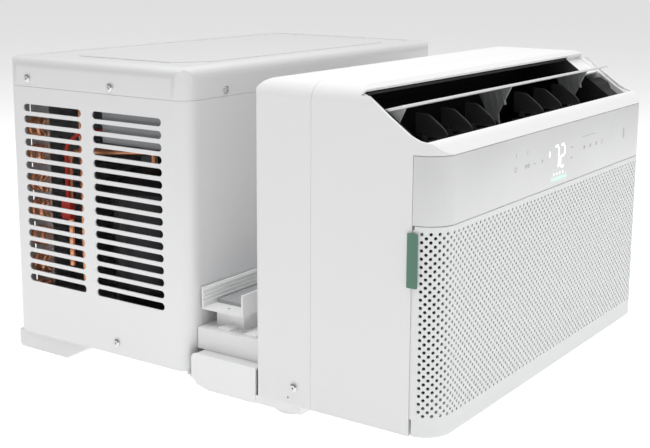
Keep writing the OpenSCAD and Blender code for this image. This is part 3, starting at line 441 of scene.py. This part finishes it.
@dataclass(frozen=True)
class Lamp(Finish):
    """Light that shines through the panel, a little uneven over its window."""

    glow: float = 1.0

    def paint(self, graph: Graph) -> dict[str, object]:
        """Returns the surface shader's inputs."""
        spread = graph.noise(0.004, 1.0).ramp(0.2, 0.8)
        return {
            "Base Color": graph.mix(spread, self.colour, tuple(0.9 * c for c in self.colour)),
            "Roughness": self.roughness,
            "Emission Color": graph.mix(spread, self.colour, tuple(0.85 * c for c in self.colour)),
            "Emission Strength": self.glow,
        }


class Look(Enum):
    """Every finish on the unit, by what it covers."""

    CASING = Moulding("white_casing", (0.745, 0.745, 0.745), 0.38, 0.9 * MM)
    PANEL = Moulding("panel_white", (0.755, 0.757, 0.76), 0.30, 0.8 * MM, 0.6 * MM, 0.015 * MM)
    LIT_PANEL = LitMoulding("lit_panel", (0.755, 0.757, 0.76), 0.30, 0.8 * MM, 0.6 * MM, 0.015 * MM)
    SHEET = Enamel("white_metal", (0.69, 0.693, 0.695), 0.34, 0.8 * MM)
    TAB = Moulding("green_tab", (0.105, 0.215, 0.165), 0.42, 0.6 * MM)
    BLACK = Moulding("black_plastic", (0.1, 0.1, 0.102), 0.5, 0.5 * MM)
    DARK = Moulding("dark_plastic", (0.095, 0.097, 0.1), 0.34, 0.4 * MM, 1.1 * MM, 0.03 * MM)
    GREY = Moulding("grey_plastic", (0.6, 0.61, 0.62), 0.45, 0.4 * MM)
    NET = Net("filter_net", (0.4, 0.4, 0.41), 0.8)
    FIN = BareMetal(
        "fin_aluminium", (0.74, 0.76, 0.78), 0.36, 0.1 * MM, (1.0, 1.0, 1.0), (0.45, 0.46, 0.47)
    )
    COPPER = BareMetal(
        "copper_tube", (0.2, 0.085, 0.05), 0.45, 0.2 * MM, (1.0, 0.3, 1.0), (0.22, 0.1, 0.06)
    )
    STEEL = BareMetal("bright_steel", (0.6, 0.6, 0.61), 0.3, 0.3 * MM, (0.1, 1.0, 1.0), (0.35, 0.34, 0.33))
    MOTOR = Enamel("motor_grey", (0.06, 0.063, 0.067), 0.42, 0.6 * MM)
    SHELL = Enamel("black_enamel", (0.018, 0.018, 0.02), 0.3, 0.8 * MM)
    RUBBER = Rubber("black_rubber", (0.022, 0.022, 0.023), 0.82, 0.4 * MM)
    BOARD = Laminate("circuit_board", (0.02, 0.11, 0.05), 0.42)
    WIRE = Moulding("red_wire", (0.5, 0.03, 0.02), 0.38, 0.2 * MM)
    SCREW = BareMetal(
        "screw_zinc", (0.72, 0.72, 0.73), 0.24, 0.3 * MM, (1.0, 1.0, 1.0), (0.4, 0.39, 0.37), 0.25
    )
    MARK = Moulding("printed_grey", (0.42, 0.43, 0.45), 0.5, 0.1 * MM)
    DIGIT = Lamp("digit_light", (1.0, 1.0, 1.0), 0.4, 0.0, 1.2)
    BAR = Lamp("bar_light", (0.42, 0.85, 0.58), 0.4, 0.0, 0.9)


# ---------------------------------------------------------------- mesh making


@dataclass
class Piece:
    """One piece on its way from geometry to a dressed object that rides on a body."""

    name: str
    look: Look
    body: str = "root"
    smooth: float = 32.0
    mesh: bmesh.types.BMesh = field(default_factory=bmesh.new)

    def finish(self, *stands_for: str) -> bpy.types.Object:
        """Makes the object, dresses it and ties it to its body.

        Args:
            *stands_for: Frame nodes that this piece stands for.

        Returns:
            The new object.
        """
        bmesh.ops.recalc_face_normals(self.mesh, faces=self.mesh.faces)
        data = bpy.data.meshes.new(self.name)
        self.mesh.to_mesh(data)
        self.mesh.free()
        data.shade_smooth()
        data.set_sharp_from_angle(angle=math.radians(self.smooth))
        made = bpy.data.objects.new(self.name, data)
        bpy.context.scene.collection.objects.link(made)
        data.materials.append(self.look.value.material())
        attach(made, self.body)
        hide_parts(*stands_for)
        LOG.info("%s: %d faces", self.name, len(data.polygons))
        return made

    def prism(self, outline: Sequence[Vector], push: Vector) -> None:
        """Adds a closed prism.

        Args:
            outline: Corners of one end, in order round it.
            push: Vector from that end to the other.
        """
        near = [self.mesh.verts.new(p) for p in outline]
        far = [self.mesh.verts.new(Vector(p) + push) for p in outline]
        self.mesh.faces.new(near)
        self.mesh.faces.new(far[::-1])
        for i, vert in enumerate(near):
            j = (i + 1) % len(near)
            self.mesh.faces.new((vert, near[j], far[j], far[i]))

    def block(self, low: Sequence[float], high: Sequence[float]) -> None:
        """Adds a box from its lowest to its highest corner."""
        corners = [(low[0], low[1]), (high[0], low[1]), (high[0], high[1]), (low[0], high[1])]
        self.prism([Vector((x, y, low[2])) for x, y in corners], Vector((0, 0, high[2] - low[2])))

    def tube(self, path: Sequence[Vector], radii: Sequence[float], sides: int = 12) -> None:
        """Adds a closed tube swept along a path.

        Args:
            path: Centres of the rings.
            radii: Radius of each ring.
            sides: Number of sides.
        """
        side = (path[1] - path[0]).orthogonal().normalized()
        rings: list[list[bmesh.types.BMVert]] = []
        for i, centre in enumerate(path):
            along = (path[min(i + 1, len(path) - 1)] - path[max(i - 1, 0)]).normalized()
            side = (side - along * side.dot(along)).normalized()
            up = along.cross(side)
            ring = []
            for k in range(sides):
                a = 2.0 * math.pi * k / sides
                spoke = side * math.cos(a) + up * math.sin(a)
                ring.append(self.mesh.verts.new(centre + spoke * radii[i]))
            rings.append(ring)
        self.mesh.faces.new(rings[0][::-1])
        self.mesh.faces.new(rings[-1])
        for low, high in zip(rings, rings[1:]):
            for k in range(sides):
                m = (k + 1) % sides
                self.mesh.faces.new((low[k], low[m], high[m], high[k]))

    def ease(self, width: float, segments: int = 2, angle: float = 32.0) -> None:
        """Rounds every sharp edge of the piece.

        Args:
            width: Width of the rounding.
            segments: Number of steps across it.
            angle: Angle in degrees from which an edge counts as sharp.
        """
        limit = math.radians(angle)
        sharp = [e for e in self.mesh.edges if len(e.link_faces) == 2 and e.calc_face_angle(0.0) > limit]
        bmesh.ops.bevel(
            self.mesh, geom=sharp, offset=width, segments=segments, profile=0.5,
            affect="EDGES", clamp_overlap=True,
        )


def softened(
    node: str, look: Look, width: float = 0.0, segments: int = 2, angle: float = 32.0
) -> bpy.types.Object:
    """Stands a copy with rounded edges in for a frame node.

    Args:
        node: The frame node.
        look: The copy's finish.
        width: Width of the rounding; 0 leaves the edges as they are.
        segments: Number of steps across the rounding.
        angle: Angle in degrees from which an edge counts as sharp.

    Returns:
        The copy.
    """
    piece = Piece(f"{node}_skin", look, frame["nodes"][node]["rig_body"])
    piece.mesh.from_mesh(frame["nodes"][node].data)
    bmesh.ops.remove_doubles(piece.mesh, verts=piece.mesh.verts, dist=2e-6)
    bmesh.ops.dissolve_limit(
        piece.mesh, angle_limit=math.radians(0.4), verts=piece.mesh.verts, edges=piece.mesh.edges
    )
    if width:
        piece.ease(width, segments, angle)
    made = piece.finish(node)
    even_normals(made.data, math.cos(math.radians(piece.smooth)))
    return made


def even_normals(data: bpy.types.Mesh, limit: float) -> None:
    """Weights each corner's normal by area, so wide flat faces stay flat beside narrow roundings.

    Args:
        data: The mesh to shade.
        limit: Cosine of the angle from which two faces don't share a normal.
    """
    around: list[list[tuple[Vector, float]]] = [[] for _ in data.vertices]
    for face in data.polygons:
        for index in face.vertices:
            around[index].append((face.normal.copy(), face.area))
    normals = []
    for face in data.polygons:
        for index in face.vertices:
            total = Vector((0.0, 0.0, 0.0))
            for normal, area in around[index]:
                if normal.dot(face.normal) > limit:
                    total += normal * area
            normals.append(total.normalized() if total.length > 0.0 else face.normal.copy())
    data.normals_split_custom_set(normals)


def dress(look: Look, *nodes: str) -> None:
    """Gives frame nodes a finish, as they are."""
    for name in nodes:
        node = frame["nodes"][name]
        node.data.materials.clear()
        node.data.materials.append(look.value.material())
        LOG.info("%s: frame node in %s", name, look.value.name)


# ---------------------------------------------------------------- indoor unit


@dataclass
class FrontSkin:
    """The wrapped front of the indoor unit: a flat face that turns round both corners.

    A place on it is given by u, the distance along the outline from the middle, by the height z and by
    how deep it lies under the outer face.
    """

    corner: float = 31 * MM
    half: float = field(init=False)
    face: float = field(init=False)

    def __post_init__(self) -> None:
        """Takes the width and the front face from the frame."""
        low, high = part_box("front_grille")
        self.half = high.x - self.corner
        self.face = low.y

    def at(self, u: float, z: float, inset: float = 0.0) -> Vector:
        """Returns the point at distance u along the outline, height z and depth inset."""
        if abs(u) <= self.half:
            return Vector((u, self.face + inset, z))
        turn = (abs(u) - self.half) / self.corner
        reach = self.corner - inset
        x = math.copysign(self.half + reach * math.sin(turn), u)
        return Vector((x, self.face + self.corner - reach * math.cos(turn), z))

    def end(self, depth: float) -> float:
        """Returns the distance u at which the outline has gone back by a depth."""
        return self.half + self.corner * math.acos(1.0 - depth / self.corner)


@dataclass
class PerforatedGrille:
    """Front grille with its staggered field of small round holes."""

    skin: FrontSkin
    wall: float = 2.5 * MM
    step_u: float = 4.5 * MM
    step_z: float = 4.06 * MM
    hole: float = 1.84 * MM
    corner_hole: float = 1.86 * MM
    big_columns: int = 3
    first_z: float = 21 * MM
    last_z: float = 208 * MM
    clear: float = 5 * MM
    sides: int = 8

    def heights(self, base: float, top: float) -> list[float]:
        """Returns the heights of the cell rows, with closer ones at the rounded bottom edge."""
        rows = int((self.last_z - self.first_z) / self.step_z)
        field_rows = [base + self.first_z + i * self.step_z for i in range(rows + 1)]
        return [base, base + 0.5 * MM, base + 1.5 * MM, *field_rows, top - 0.6 * MM, top]

    def inset(self, z: float, base: float, top: float) -> float:
        """Returns how far the outer face lies in at a height: the long edges are eased."""
        foot = max(0.0, 1.5 * MM - (z - base)) / (1.5 * MM)
        head = max(0.0, 0.6 * MM - (top - z)) / (0.6 * MM)
        return 1.3 * MM * foot * foot + 0.4 * MM * head * head

    def build(self) -> None:
        """Builds the grille cell by cell and lets it stand for the plain one."""
        low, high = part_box("front_grille")
        zs = self.heights(low.z, high.z)
        left, right = self.skin.end(28.0 * MM), self.skin.end(30.6 * MM)
        count = int((left + right - 2 * self.clear) / self.step_u)
        start = -left + self.clear
        us = [-left, *(start + i * self.step_u for i in range(count + 1)), right]
        piece = Piece("perforated_grille", Look.PANEL, smooth=28.0)
        verts = piece.mesh.verts
        layers = []
        for depth in (0.0, self.wall):
            layers.append([
                [verts.new(self.skin.at(u, z, depth + (self.inset(z, low.z, high.z) if depth == 0 else 0)))
                 for u in us] for z in zs
            ])
        outer, inner = layers
        for r in range(len(zs) - 1):
            for c in range(len(us) - 1):
                in_field = 3 <= r < len(zs) - 3 and 1 <= c < len(us) - 2
                corners = [(r, c), (r, c + 1), (r + 1, c + 1), (r + 1, c)]
                front = [outer[a][b] for a, b in corners]
                back = [inner[a][b] for a, b in corners]
                if in_field and (r + c) % 2:
                    radius = self.corner_hole if c <= self.big_columns else self.hole
                    self.drill(piece, (us[c] + us[c + 1]) / 2, (zs[r] + zs[r + 1]) / 2, radius, front, back)
                else:
                    piece.mesh.faces.new(front)
                    piece.mesh.faces.new(back[::-1])
        last_row, last_column = len(zs) - 1, len(us) - 1
        rim = [(0, c) for c in range(last_column + 1)]
        rim += [(r, last_column) for r in range(1, last_row + 1)]
        rim += [(last_row, c) for c in range(last_column - 1, -1, -1)]
        rim += [(r, 0) for r in range(last_row - 1, 0, -1)]
        for (a, b), (d, e) in zip(rim, rim[1:] + rim[:1]):
            piece.mesh.faces.new((outer[a][b], outer[d][e], inner[d][e], inner[a][b]))
        self.floor(piece, low.z, left, right)
        piece.finish("front_grille")

    def drill(
        self, piece: Piece, u: float, z: float, radius: float,
        front: list[bmesh.types.BMVert], back: list[bmesh.types.BMVert],
    ) -> None:
        """Fills one cell with a hole: the faces round it on both sides and the hole's wall.

        Args:
            piece: The grille.
            u: Middle of the cell along the outline.
            z: Middle of the cell in height.
            radius: Radius of the hole.
            front: Corners of the cell on the outer face.
            back: Corners of the cell on the inner face.
        """
        rings = []
        for depth, spread in ((0.0, 1.0), (self.wall, 1.06)):
            ring = []
            for k in range(self.sides):
                a = math.radians(-135 + 22.5 + 45 * k)
                du, dz = radius * spread * math.cos(a), radius * spread * math.sin(a)
                ring.append(piece.mesh.verts.new(self.skin.at(u + du, z + dz, depth)))
            rings.append(ring)
        for corners, ring in ((front, rings[0]), (back, rings[1])):
            for s in range(4):
                a, b, c = ring[2 * s - 1], ring[2 * s], ring[(2 * s + 1) % self.sides]
                piece.mesh.faces.new((corners[s], a, b))
                piece.mesh.faces.new((corners[s], b, c, corners[(s + 1) % 4]))
        for k in range(self.sides):
            m = (k + 1) % self.sides
            piece.mesh.faces.new((rings[0][k], rings[0][m], rings[1][m], rings[1][k]))

    def floor(self, piece: Piece, base: float, left: float, right: float) -> None:
        """Adds the grille's floor plate between its two ends."""
        steps = 10
        bend = [self.skin.half + (left - self.skin.half) * i / steps for i in range(steps + 1)]
        other = [self.skin.half + (right - self.skin.half) * i / steps for i in range(steps)]
        outline = [self.skin.at(-u, base, self.wall + 0.01 * MM) for u in bend[::-1]]
        outline += [self.skin.at(u, base, self.wall + 0.01 * MM) for u in other]
        piece.prism(outline, Vector((0, 0, self.wall)))


@dataclass
class DisplayPanel:
    """Smooth panel over the grille, with its lit digits, status lights and touch marks."""

    skin: FrontSkin
    wall: float = 2.5 * MM
    sunk: float = 0.12 * MM
    ease: float = 0.4 * MM
    digit_height: float = 25 * MM
    digit_width: float = 11 * MM
    stroke: float = 2.6 * MM
    digits: tuple[int, ...] = (7, 2)
    digit_at: tuple[float, float] = (-13.5 * MM, 233.5 * MM)
    lamp_z: float = 226.6 * MM
    bar_z: float = 221.5 * MM
    touch_z: float = 247 * MM
    left_marks: tuple[float, ...] = (-112 * MM, -84 * MM, -66 * MM, -46 * MM)
    right_marks: tuple[float, ...] = (70 * MM, 88 * MM, 106 * MM, 124 * MM)

    def build(self) -> None:
        """Builds the panel and everything on it."""
        low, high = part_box("display_panel")
        self.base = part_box("front_grille")[0].z
        self.band(low.z, high.z)
        self.lights()
        self.marks()

    def band(self, low: float, high: float) -> None:
        """Builds the wrapped band with eased long edges and its ledge under the lip."""
        e = self.ease
        section = [(self.wall, low), (self.sunk + e, low)]
        section += [(self.sunk + 0.3 * e, low + 0.3 * e), (self.sunk, low + e)]
        section += [(self.sunk, high - e), (self.sunk + 0.3 * e, high - 0.3 * e), (self.sunk + e, high)]
        section += [(9 * MM, high), (9 * MM, high - 2 * MM), (self.wall, high - 2 * MM)]
        reach = self.skin.end(30.6 * MM)
        turns = 12
        bend = [self.skin.half + (reach - self.skin.half) * i / turns for i in range(turns + 1)]
        us = [-u for u in bend[::-1]] + bend
        piece = Piece("display_panel_skin", Look.LIT_PANEL)
        loops = [[piece.mesh.verts.new(self.skin.at(u, z, inset)) for inset, z in section] for u in us]
        for a, b in zip(loops, loops[1:]):
            for k in range(len(section)):
                m = (k + 1) % len(section)
                piece.mesh.faces.new((a[k], b[k], b[m], a[m]))
        piece.mesh.faces.new(loops[0])
        piece.mesh.faces.new(loops[-1][::-1])
        piece.finish("display_panel")

    def plate(self, piece: Piece, outline: Sequence[tuple[float, float]]) -> None:
        """Adds a film-thin mark to a piece, from its [x, z] outline above the unit's underside."""
        front = self.skin.face + 0.05 * MM
        piece.prism([Vector((x, front, self.base + z)) for x, z in outline], Vector((0, 0.2 * MM, 0)))

    def bar(self, piece: Piece, start: tuple[float, float], end: tuple[float, float], width: float) -> None:
        """Adds a straight stroke with pointed ends between two [x, z] points."""
        a, b = Vector(start), Vector(end)
        along = (b - a).normalized() * width / 2
        side = Vector((-along.y, along.x))
        corners = (a - along, a + side, b + side, b + along, b - side, a - side)
        self.plate(piece, [(c.x, c.y) for c in corners])

    def ring(
        self, piece: Piece, at: tuple[float, float], radius: float, width: float, gap: float = 0.0
    ) -> None:
        """Adds a ring, or an arc that leaves a gap in degrees at its top."""
        steps = 16
        span = math.radians(360 - gap)
        start = math.radians(90 + gap / 2)
        for i in range(steps):
            a, b = (start + span * k / steps for k in (i, i + 1))
            inner, outer = radius - width / 2, radius + width / 2
            corners = [(inner, a), (outer, a), (outer, b), (inner, b)]
            self.plate(piece, [(at[0] + r * math.cos(t), at[1] + r * math.sin(t)) for r, t in corners])

    def lights(self) -> None:
        """Builds the lit digits, the row of lamps and the indicator bar."""
        segments = {7: "ABC", 2: "ABGED"}
        w, h, s = self.digit_width, self.digit_height, self.stroke
        lines = {
            "A": ((s, h), (w - s, h)), "B": ((w, h - s), (w, h / 2 + s / 2)),
            "C": ((w, h / 2 - s / 2), (w, s / 2)), "D": ((s, 0), (w - s, 0)),
            "E": ((0, s), (0, h / 2 - s / 2)), "G": ((s, h / 2), (w - s, h / 2)),
        }
        digits = Piece("display_digits", Look.DIGIT)
        for place, digit in enumerate(self.digits):
            x0 = self.digit_at[0] + place * (w + 5 * MM)
            for name in segments[digit]:
                (ax, az), (bx, bz) = lines[name]
                self.bar(digits, (x0 + ax, self.digit_at[1] + az), (x0 + bx, self.digit_at[1] + bz), s)
        self.bar(digits, (-27 * MM, 249 * MM), (-27 * MM, 254 * MM), 2.2 * MM)
        digits.finish()
        lamps = Piece("status_lamps", Look.DIGIT)
        for i in range(4):
            x = (-15 + 8.2 * i) * MM
            self.bar(lamps, (x, self.lamp_z), (x + 0.6 * MM, self.lamp_z + 1.2 * MM), 1.9 * MM)
        lamps.finish()
        bar = Piece("status_bar", Look.BAR)
        self.bar(bar, (-19 * MM, self.bar_z), (19 * MM, self.bar_z), 1.9 * MM)
        bar.finish()

    def marks(self) -> None:
        """Builds the printed touch marks: simple rings, arrows and dashes."""
        piece = Piece("touch_marks", Look.MARK)
        z = self.touch_z
        self.ring(piece, (self.left_marks[0], z), 2.6 * MM, 0.8 * MM, 70.0)
        self.bar(piece, (self.left_marks[0], z + 0.8 * MM), (self.left_marks[0], z + 3.2 * MM), 0.8 * MM)
        for side in (-1, 1):
            x = self.left_marks[1] + side * 3 * MM
            self.ring(piece, (x, z), 1.7 * MM, 1.2 * MM)
        self.bar(piece, (self.left_marks[2] - 2 * MM, z), (self.left_marks[2] + 2 * MM, z), 0.9 * MM)
        x = self.left_marks[3]
        self.bar(piece, (x - 2 * MM, z), (x + 2 * MM, z), 0.9 * MM)
        self.bar(piece, (x, z - 2 * MM), (x, z + 2 * MM), 0.9 * MM)
        for x in self.left_marks[:2]:
            self.bar(piece, (x, z + 12.5 * MM), (x, z + 16.5 * MM), 1.0 * MM)
        for x in self.right_marks[:3]:
            self.ring(piece, (x, z), 1.5 * MM, 1.5 * MM)
        self.ring(piece, (self.right_marks[3], z), 2.4 * MM, 0.6 * MM)
        for i in range(7):
            x = self.right_marks[0] + (i * 5.5 - 5) * MM
            self.bar(piece, (x, z + 13 * MM), (x + 3.4 * MM, z + 13 * MM), 0.8 * MM)
        for dz in (0.0, 12.0):
            self.bar(piece, (31 * MM, z - (7 - dz) * MM), (36 * MM, z - (7 - dz) * MM), 1.1 * MM)
        for dz in (-4.0, 0.0, 4.5):
            self.ring(piece, (195 * MM, z + dz * MM + 1.5 * MM), 1.9 * MM, 1.0 * MM)
        piece.finish()


@dataclass
class Vanes:
    """The six fin-shaped vanes, each cambered, with a raised rim on its leading edge and a foot."""

    thickness: float = 2.0 * MM
    rim: float = 1.15 * MM
    camber: float = 1.6 * MM
    rows: int = 9
    columns: int = 15
    front: tuple[tuple[float, float], ...] = (
        (-22, 0), (-25.2, 1.2), (-26, 4.6), (-21.5, 10.2), (-14, 15.8), (-7, 20.8), (-1, 23.3), (6, 23.8)
    )
    back: tuple[tuple[float, float], ...] = ((9, 0), (9.4, 6), (9.8, 13), (10, 23.8))

    def edge(self, points: Sequence[tuple[float, float]], t: float) -> tuple[float, float]:
        """Returns a point of a smooth curve through the given points, t going from 0 to 1."""
        last = len(points) - 1
        i = min(int(t * last), last - 1)
        f = t * last - i
        p = [Vector(points[min(max(i + k, 0), last)]) for k in (-1, 0, 1, 2)]
        q = p[1] * 2 + (p[2] - p[0]) * f + (p[0] * 2 - p[1] * 5 + p[2] * 4 - p[3]) * f * f
        q = (q + (p[1] * 3 - p[0] - p[2] * 3 + p[3]) * f * f * f) / 2
        return q.x * MM, q.y * MM

    def build(self) -> None:
        """Builds every vane about its own pivot."""
        for joint in frame["joints"]:
            if joint["child"].startswith("vane_"):
                self.vane(joint["child"], Vector(joint["pos_m"]))

    def vane(self, name: str, pivot: Vector) -> None:
        """Builds one vane.

        Args:
            name: The frame node and body.
            pivot: Its pivot, at the foot of the blade.
        """
        low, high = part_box(name)
        foot = pivot.z
        scale = (high.z - foot) / (23.8 * MM)
        piece = Piece(f"{name}_fin", Look.DARK, name)

        def place(side: float, r: int, c: int) -> Vector:
            """Returns a point of one side of the blade."""
            t, s = r / (self.rows - 1), c / (self.columns - 1)
            fy, fz = self.edge(self.front, t * 0.999)
            by, bz = self.edge(self.back, t * 0.999)
            bend = self.camber * math.sin(math.pi * s) * math.sin(math.pi * min(1.0, t + 0.2))
            half = side * self.thickness / 2 * (1.0 - 0.45 * s)
            x = pivot.x + bend * 0.5 + half
            return Vector((x, pivot.y + fy + (by - fy) * s, foot + (fz + (bz - fz) * s) * scale))

        loops = []
        for r in range(self.rows):
            row = [place(1.0, r, c) for c in range(self.columns)]
            row += [place(-1.0, r, c) for c in range(self.columns - 1, -1, -1)]
            loops.append([piece.mesh.verts.new(p) for p in row])
        width = 2 * self.columns
        for a, b in zip(loops, loops[1:]):
            for k in range(width):
                m = (k + 1) % width
                piece.mesh.faces.new((a[k], a[m], b[m], b[k]))
        for loop in (loops[0], loops[-1]):
            for k in range(self.columns - 1):
                piece.mesh.faces.new((loop[k], loop[k + 1], loop[width - 2 - k], loop[width - 1 - k]))
        steps = 26
        line = [self.edge(self.front, 0.999 * i / steps) for i in range(steps + 1)]
        rim = [Vector((pivot.x, pivot.y + y, foot + z * scale)) for y, z in line]
        rim = [Vector((p.x, p.y, min(p.z, high.z - self.rim))) for p in rim]
        piece.tube(rim, [self.rim] * len(rim), 8)
        drop = pivot.z - low.z
        for x, y, r, z0, z1 in (
            (0.0, 0.0, 2.0 * MM, low.z, foot), (0.0, 0.0, 4.0 * MM, foot - 4.5 * MM, foot + 1.5 * MM),
            (0.0, -18 * MM, 1.5 * MM, foot - min(6 * MM, drop), foot + 1 * MM),
        ):
            centre = Vector((pivot.x + x, pivot.y + y, 0))
            heights = (z0, z0 + 0.3 * MM, z1 - 0.3 * MM, z1)
            radii = (r - 0.3 * MM, r, r, r - 0.3 * MM)
            piece.tube([centre + Vector((0, 0, z)) for z in heights], radii, 20)
        for side in (-1, 1):
            x = pivot.x + side * 3.2 * MM
            low_corner = (min(x, pivot.x), pivot.y - 0.5 * MM, foot)
            piece.block(low_corner, (max(x, pivot.x), pivot.y + 0.5 * MM, foot + 5 * MM))
        piece.finish(name)


@dataclass
class IndoorUnit:
    """The indoor unit: casings, front, outlet with flap and vanes, filter, coil and blower."""

    fin_pitch: float = 1.8 * MM

    def build(self) -> None:
        """Builds and dresses the whole unit."""
        softened("front_shell", Look.CASING, 1.2 * MM, 3)
        softened("rear_shell", Look.CASING, 1.0 * MM)
        skin = FrontSkin()
        PerforatedGrille(skin).build()
        DisplayPanel(skin).build()
        Vanes().build()
        softened("flap_blade", Look.CASING, 0.7 * MM)
        softened("filter_tab", Look.TAB, 0.5 * MM)
        fin_stack("evaporator_fins", self.fin_pitch)
        dress(Look.GREY, "flap_arms")
        dress(Look.CASING, "filter_bulkhead", "filter_frame", "drain_tray")
        dress(Look.NET, "filter_mesh")
        dress(Look.BLACK, "air_duct", "vane_rails", "vane_link_left", "vane_link_right")
        dress(Look.DARK, "crossflow_fan", "flap_motor_cover")
        dress(Look.COPPER, "evaporator_tubes")
        dress(Look.STEEL, "blower_shaft", "flap_shaft", "flap_motor")
        dress(Look.MOTOR, "blower_motor")
        dress(Look.RUBBER, "blower_bearing", "cord_gland")
        dress(Look.BOARD, "display_board")
        dress(Look.SCREW, "casing_screws")


def fin_stack(node: str, pitch: float, thickness: float = 0.22 * MM, folds: int = 4) -> None:
    """Stands a stack of thin corrugated fins in for a coil.

    Args:
        node: The frame node of the coil.
        pitch: Distance between fins.
        thickness: Thickness of a fin.
        folds: Number of folds across the coil's depth.
    """
    low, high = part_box(node)
    piece = Piece(f"{node}_stack", Look.FIN, smooth=60.0)
    count = int((high.x - low.x - 2 * MM) / pitch)
    start = (low.x + high.x - count * pitch) / 2
    wave = [0.5 * MM * (i % 2) for i in range(folds + 1)]
    ys = [low.y + (high.y - low.y) * i / folds for i in range(folds + 1)]
    for i in range(count + 1):
        x = start + i * pitch - 0.25 * MM
        outline = [Vector((x + w, y, low.z)) for w, y in zip(wave, ys)]
        outline += [Vector((x + w + thickness, y, low.z)) for w, y in zip(wave[::-1], ys[::-1])]
        piece.prism(outline, Vector((0, 0, high.z - low.z)))
    piece.finish(node)


# ---------------------------------------------------------------- neck


@dataclass
class Neck:
    """The low neck: base pan, cover, sash channel and its gasket."""

    def build(self) -> None:
        """Builds and dresses the neck."""
        softened("base_pan", Look.SHEET, 0.6 * MM)
        softened("neck_cover", Look.CASING, 0.8 * MM)
        softened("sash_channel", Look.CASING, 0.5 * MM)
        softened("support_feet", Look.CASING, 1.5 * MM)
        dress(Look.GREY, "sash_gasket")
        dress(Look.RUBBER, "drain_plug")


# ---------------------------------------------------------------- outdoor cabinet


@dataclass
class OutdoorCabinet:
    """The outdoor cabinet with its louvred wrap, pressed top cover, guard, screws and machinery."""

    fin_pitch: float = 1.8 * MM

    def build(self) -> None:
        """Builds and dresses the cabinet and what it holds."""
        softened("cabinet_wrap", Look.SHEET, 0.5 * MM)
        softened("top_cover", Look.SHEET, 1.5 * MM)
        fin_stack("condenser_fins", self.fin_pitch)
        dress(Look.SHEET, "rear_guard")
        dress(Look.SCREW, "lid_screws")
        dress(Look.COPPER, "condenser_tubes", "copper_lines")
        dress(Look.GREY, "fan_shroud")
        dress(Look.DARK, "condenser_fan")
        dress(Look.MOTOR, "fan_motor", "motor_bracket", "control_box")
        dress(Look.STEEL, "fan_motor_shaft", "run_capacitor")
        dress(Look.SHELL, "compressor", "accumulator")
        dress(Look.RUBBER, "compressor_mounts", "suction_line")
        dress(Look.BLACK, "terminal_cover")
        dress(Look.WIRE, "wire_harness")


# ---------------------------------------------------------------- studio


@dataclass
class Studio:
    """Pale floor, soft lights and the camera."""

    camera_at: Point = (-1.2218, -0.7942, 0.4795)
    target: Point = (-0.100, -0.019, 0.2255)
    roll: float = 0.29
    lens: float = 65.5
    lift: float = -0.08

    def build(self) -> None:
        """Builds the floor, the lights and the camera."""
        self.floor()
        self.lights()
        self.camera()

    def floor(self) -> None:
        """Builds the plain pale floor under the lowest piece."""
        level = CAD_BOX[0].z - 0.2 * MM
        mesh = bmesh.new()
        bmesh.ops.create_grid(mesh, x_segments=2, y_segments=2, size=60.0)
        data = bpy.data.meshes.new("studio_floor")
        mesh.to_mesh(data)
        mesh.free()
        floor = bpy.data.objects.new("studio_floor", data)
        floor.location.z = level
        bpy.context.scene.collection.objects.link(floor)
        graph = Graph("studio_floor")
        tone = graph.noise(0.5, 1.0)
        data.materials.append(graph.close({
            "Base Color": graph.mix(tone, (0.93, 0.93, 0.93), (0.95, 0.95, 0.95)),
            "Roughness": 0.9,
            "Emission Color": (1.0, 1.0, 1.0),
            "Emission Strength": 0.46,
        }))

    def area(self, name: str, at: Point, size: float, power: float) -> None:
        """Adds a soft square light that faces the object.

        Args:
            name: The light's name.
            at: Its place.
            size: Its side length.
            power: Its power in watts.
        """
        data = bpy.data.lights.new(name, "AREA")
        data.shape, data.size, data.energy = "SQUARE", size, power
        lamp = bpy.data.objects.new(name, data)
        lamp.location = at
        aim = Vector((0.0, 0.0, 0.2)) - Vector(at)
        lamp.rotation_euler = aim.to_track_quat("-Z", "Y").to_euler()
        bpy.context.scene.collection.objects.link(lamp)

    def lights(self) -> None:
        """Adds a bright even surround and three softboxes."""
        world = bpy.data.worlds.new("surround")
        bpy.context.scene.world = world
        world.use_nodes = True
        world.node_tree.nodes["Background"].inputs[0].default_value = (1.0, 1.0, 1.0, 1.0)
        world.node_tree.nodes["Background"].inputs[1].default_value = 0.3
        self.area("top_softbox", (-0.1, 0.0, 2.3), 2.2, 48.0)
        self.area("front_softbox", (0.8, -2.4, 1.2), 1.8, 4.5)
        self.area("side_softbox", (-1.6, -1.9, 1.2), 1.6, 1.5)
        scene = bpy.context.scene
        scene.view_settings.view_transform = "Standard"

    def camera(self) -> None:
        """Adds the camera, turned a little about its own axis."""
        data = bpy.data.cameras.new("camera")
        data.lens, data.sensor_width, data.shift_y = self.lens, 36.0, self.lift
        data.clip_start = 0.05
        camera = bpy.data.objects.new("camera", data)
        camera.location = self.camera_at
        look = (Vector(self.target) - Vector(self.camera_at)).to_track_quat("-Z", "Y")
        turned = look.to_matrix() @ Matrix.Rotation(math.radians(self.roll), 3, "Z")
        camera.rotation_euler = turned.to_euler()
        bpy.context.scene.collection.objects.link(camera)
        bpy.context.scene.camera = camera


def main() -> None:
    """Builds the unit and the studio."""
    logging.basicConfig(level=logging.INFO, format="%(message)s")
    for part in (IndoorUnit(), Neck(), OutdoorCabinet(), Studio()):
        part.build()
        LOG.info("built %s", type(part).__name__)


if __name__ == "__main__":
    main()
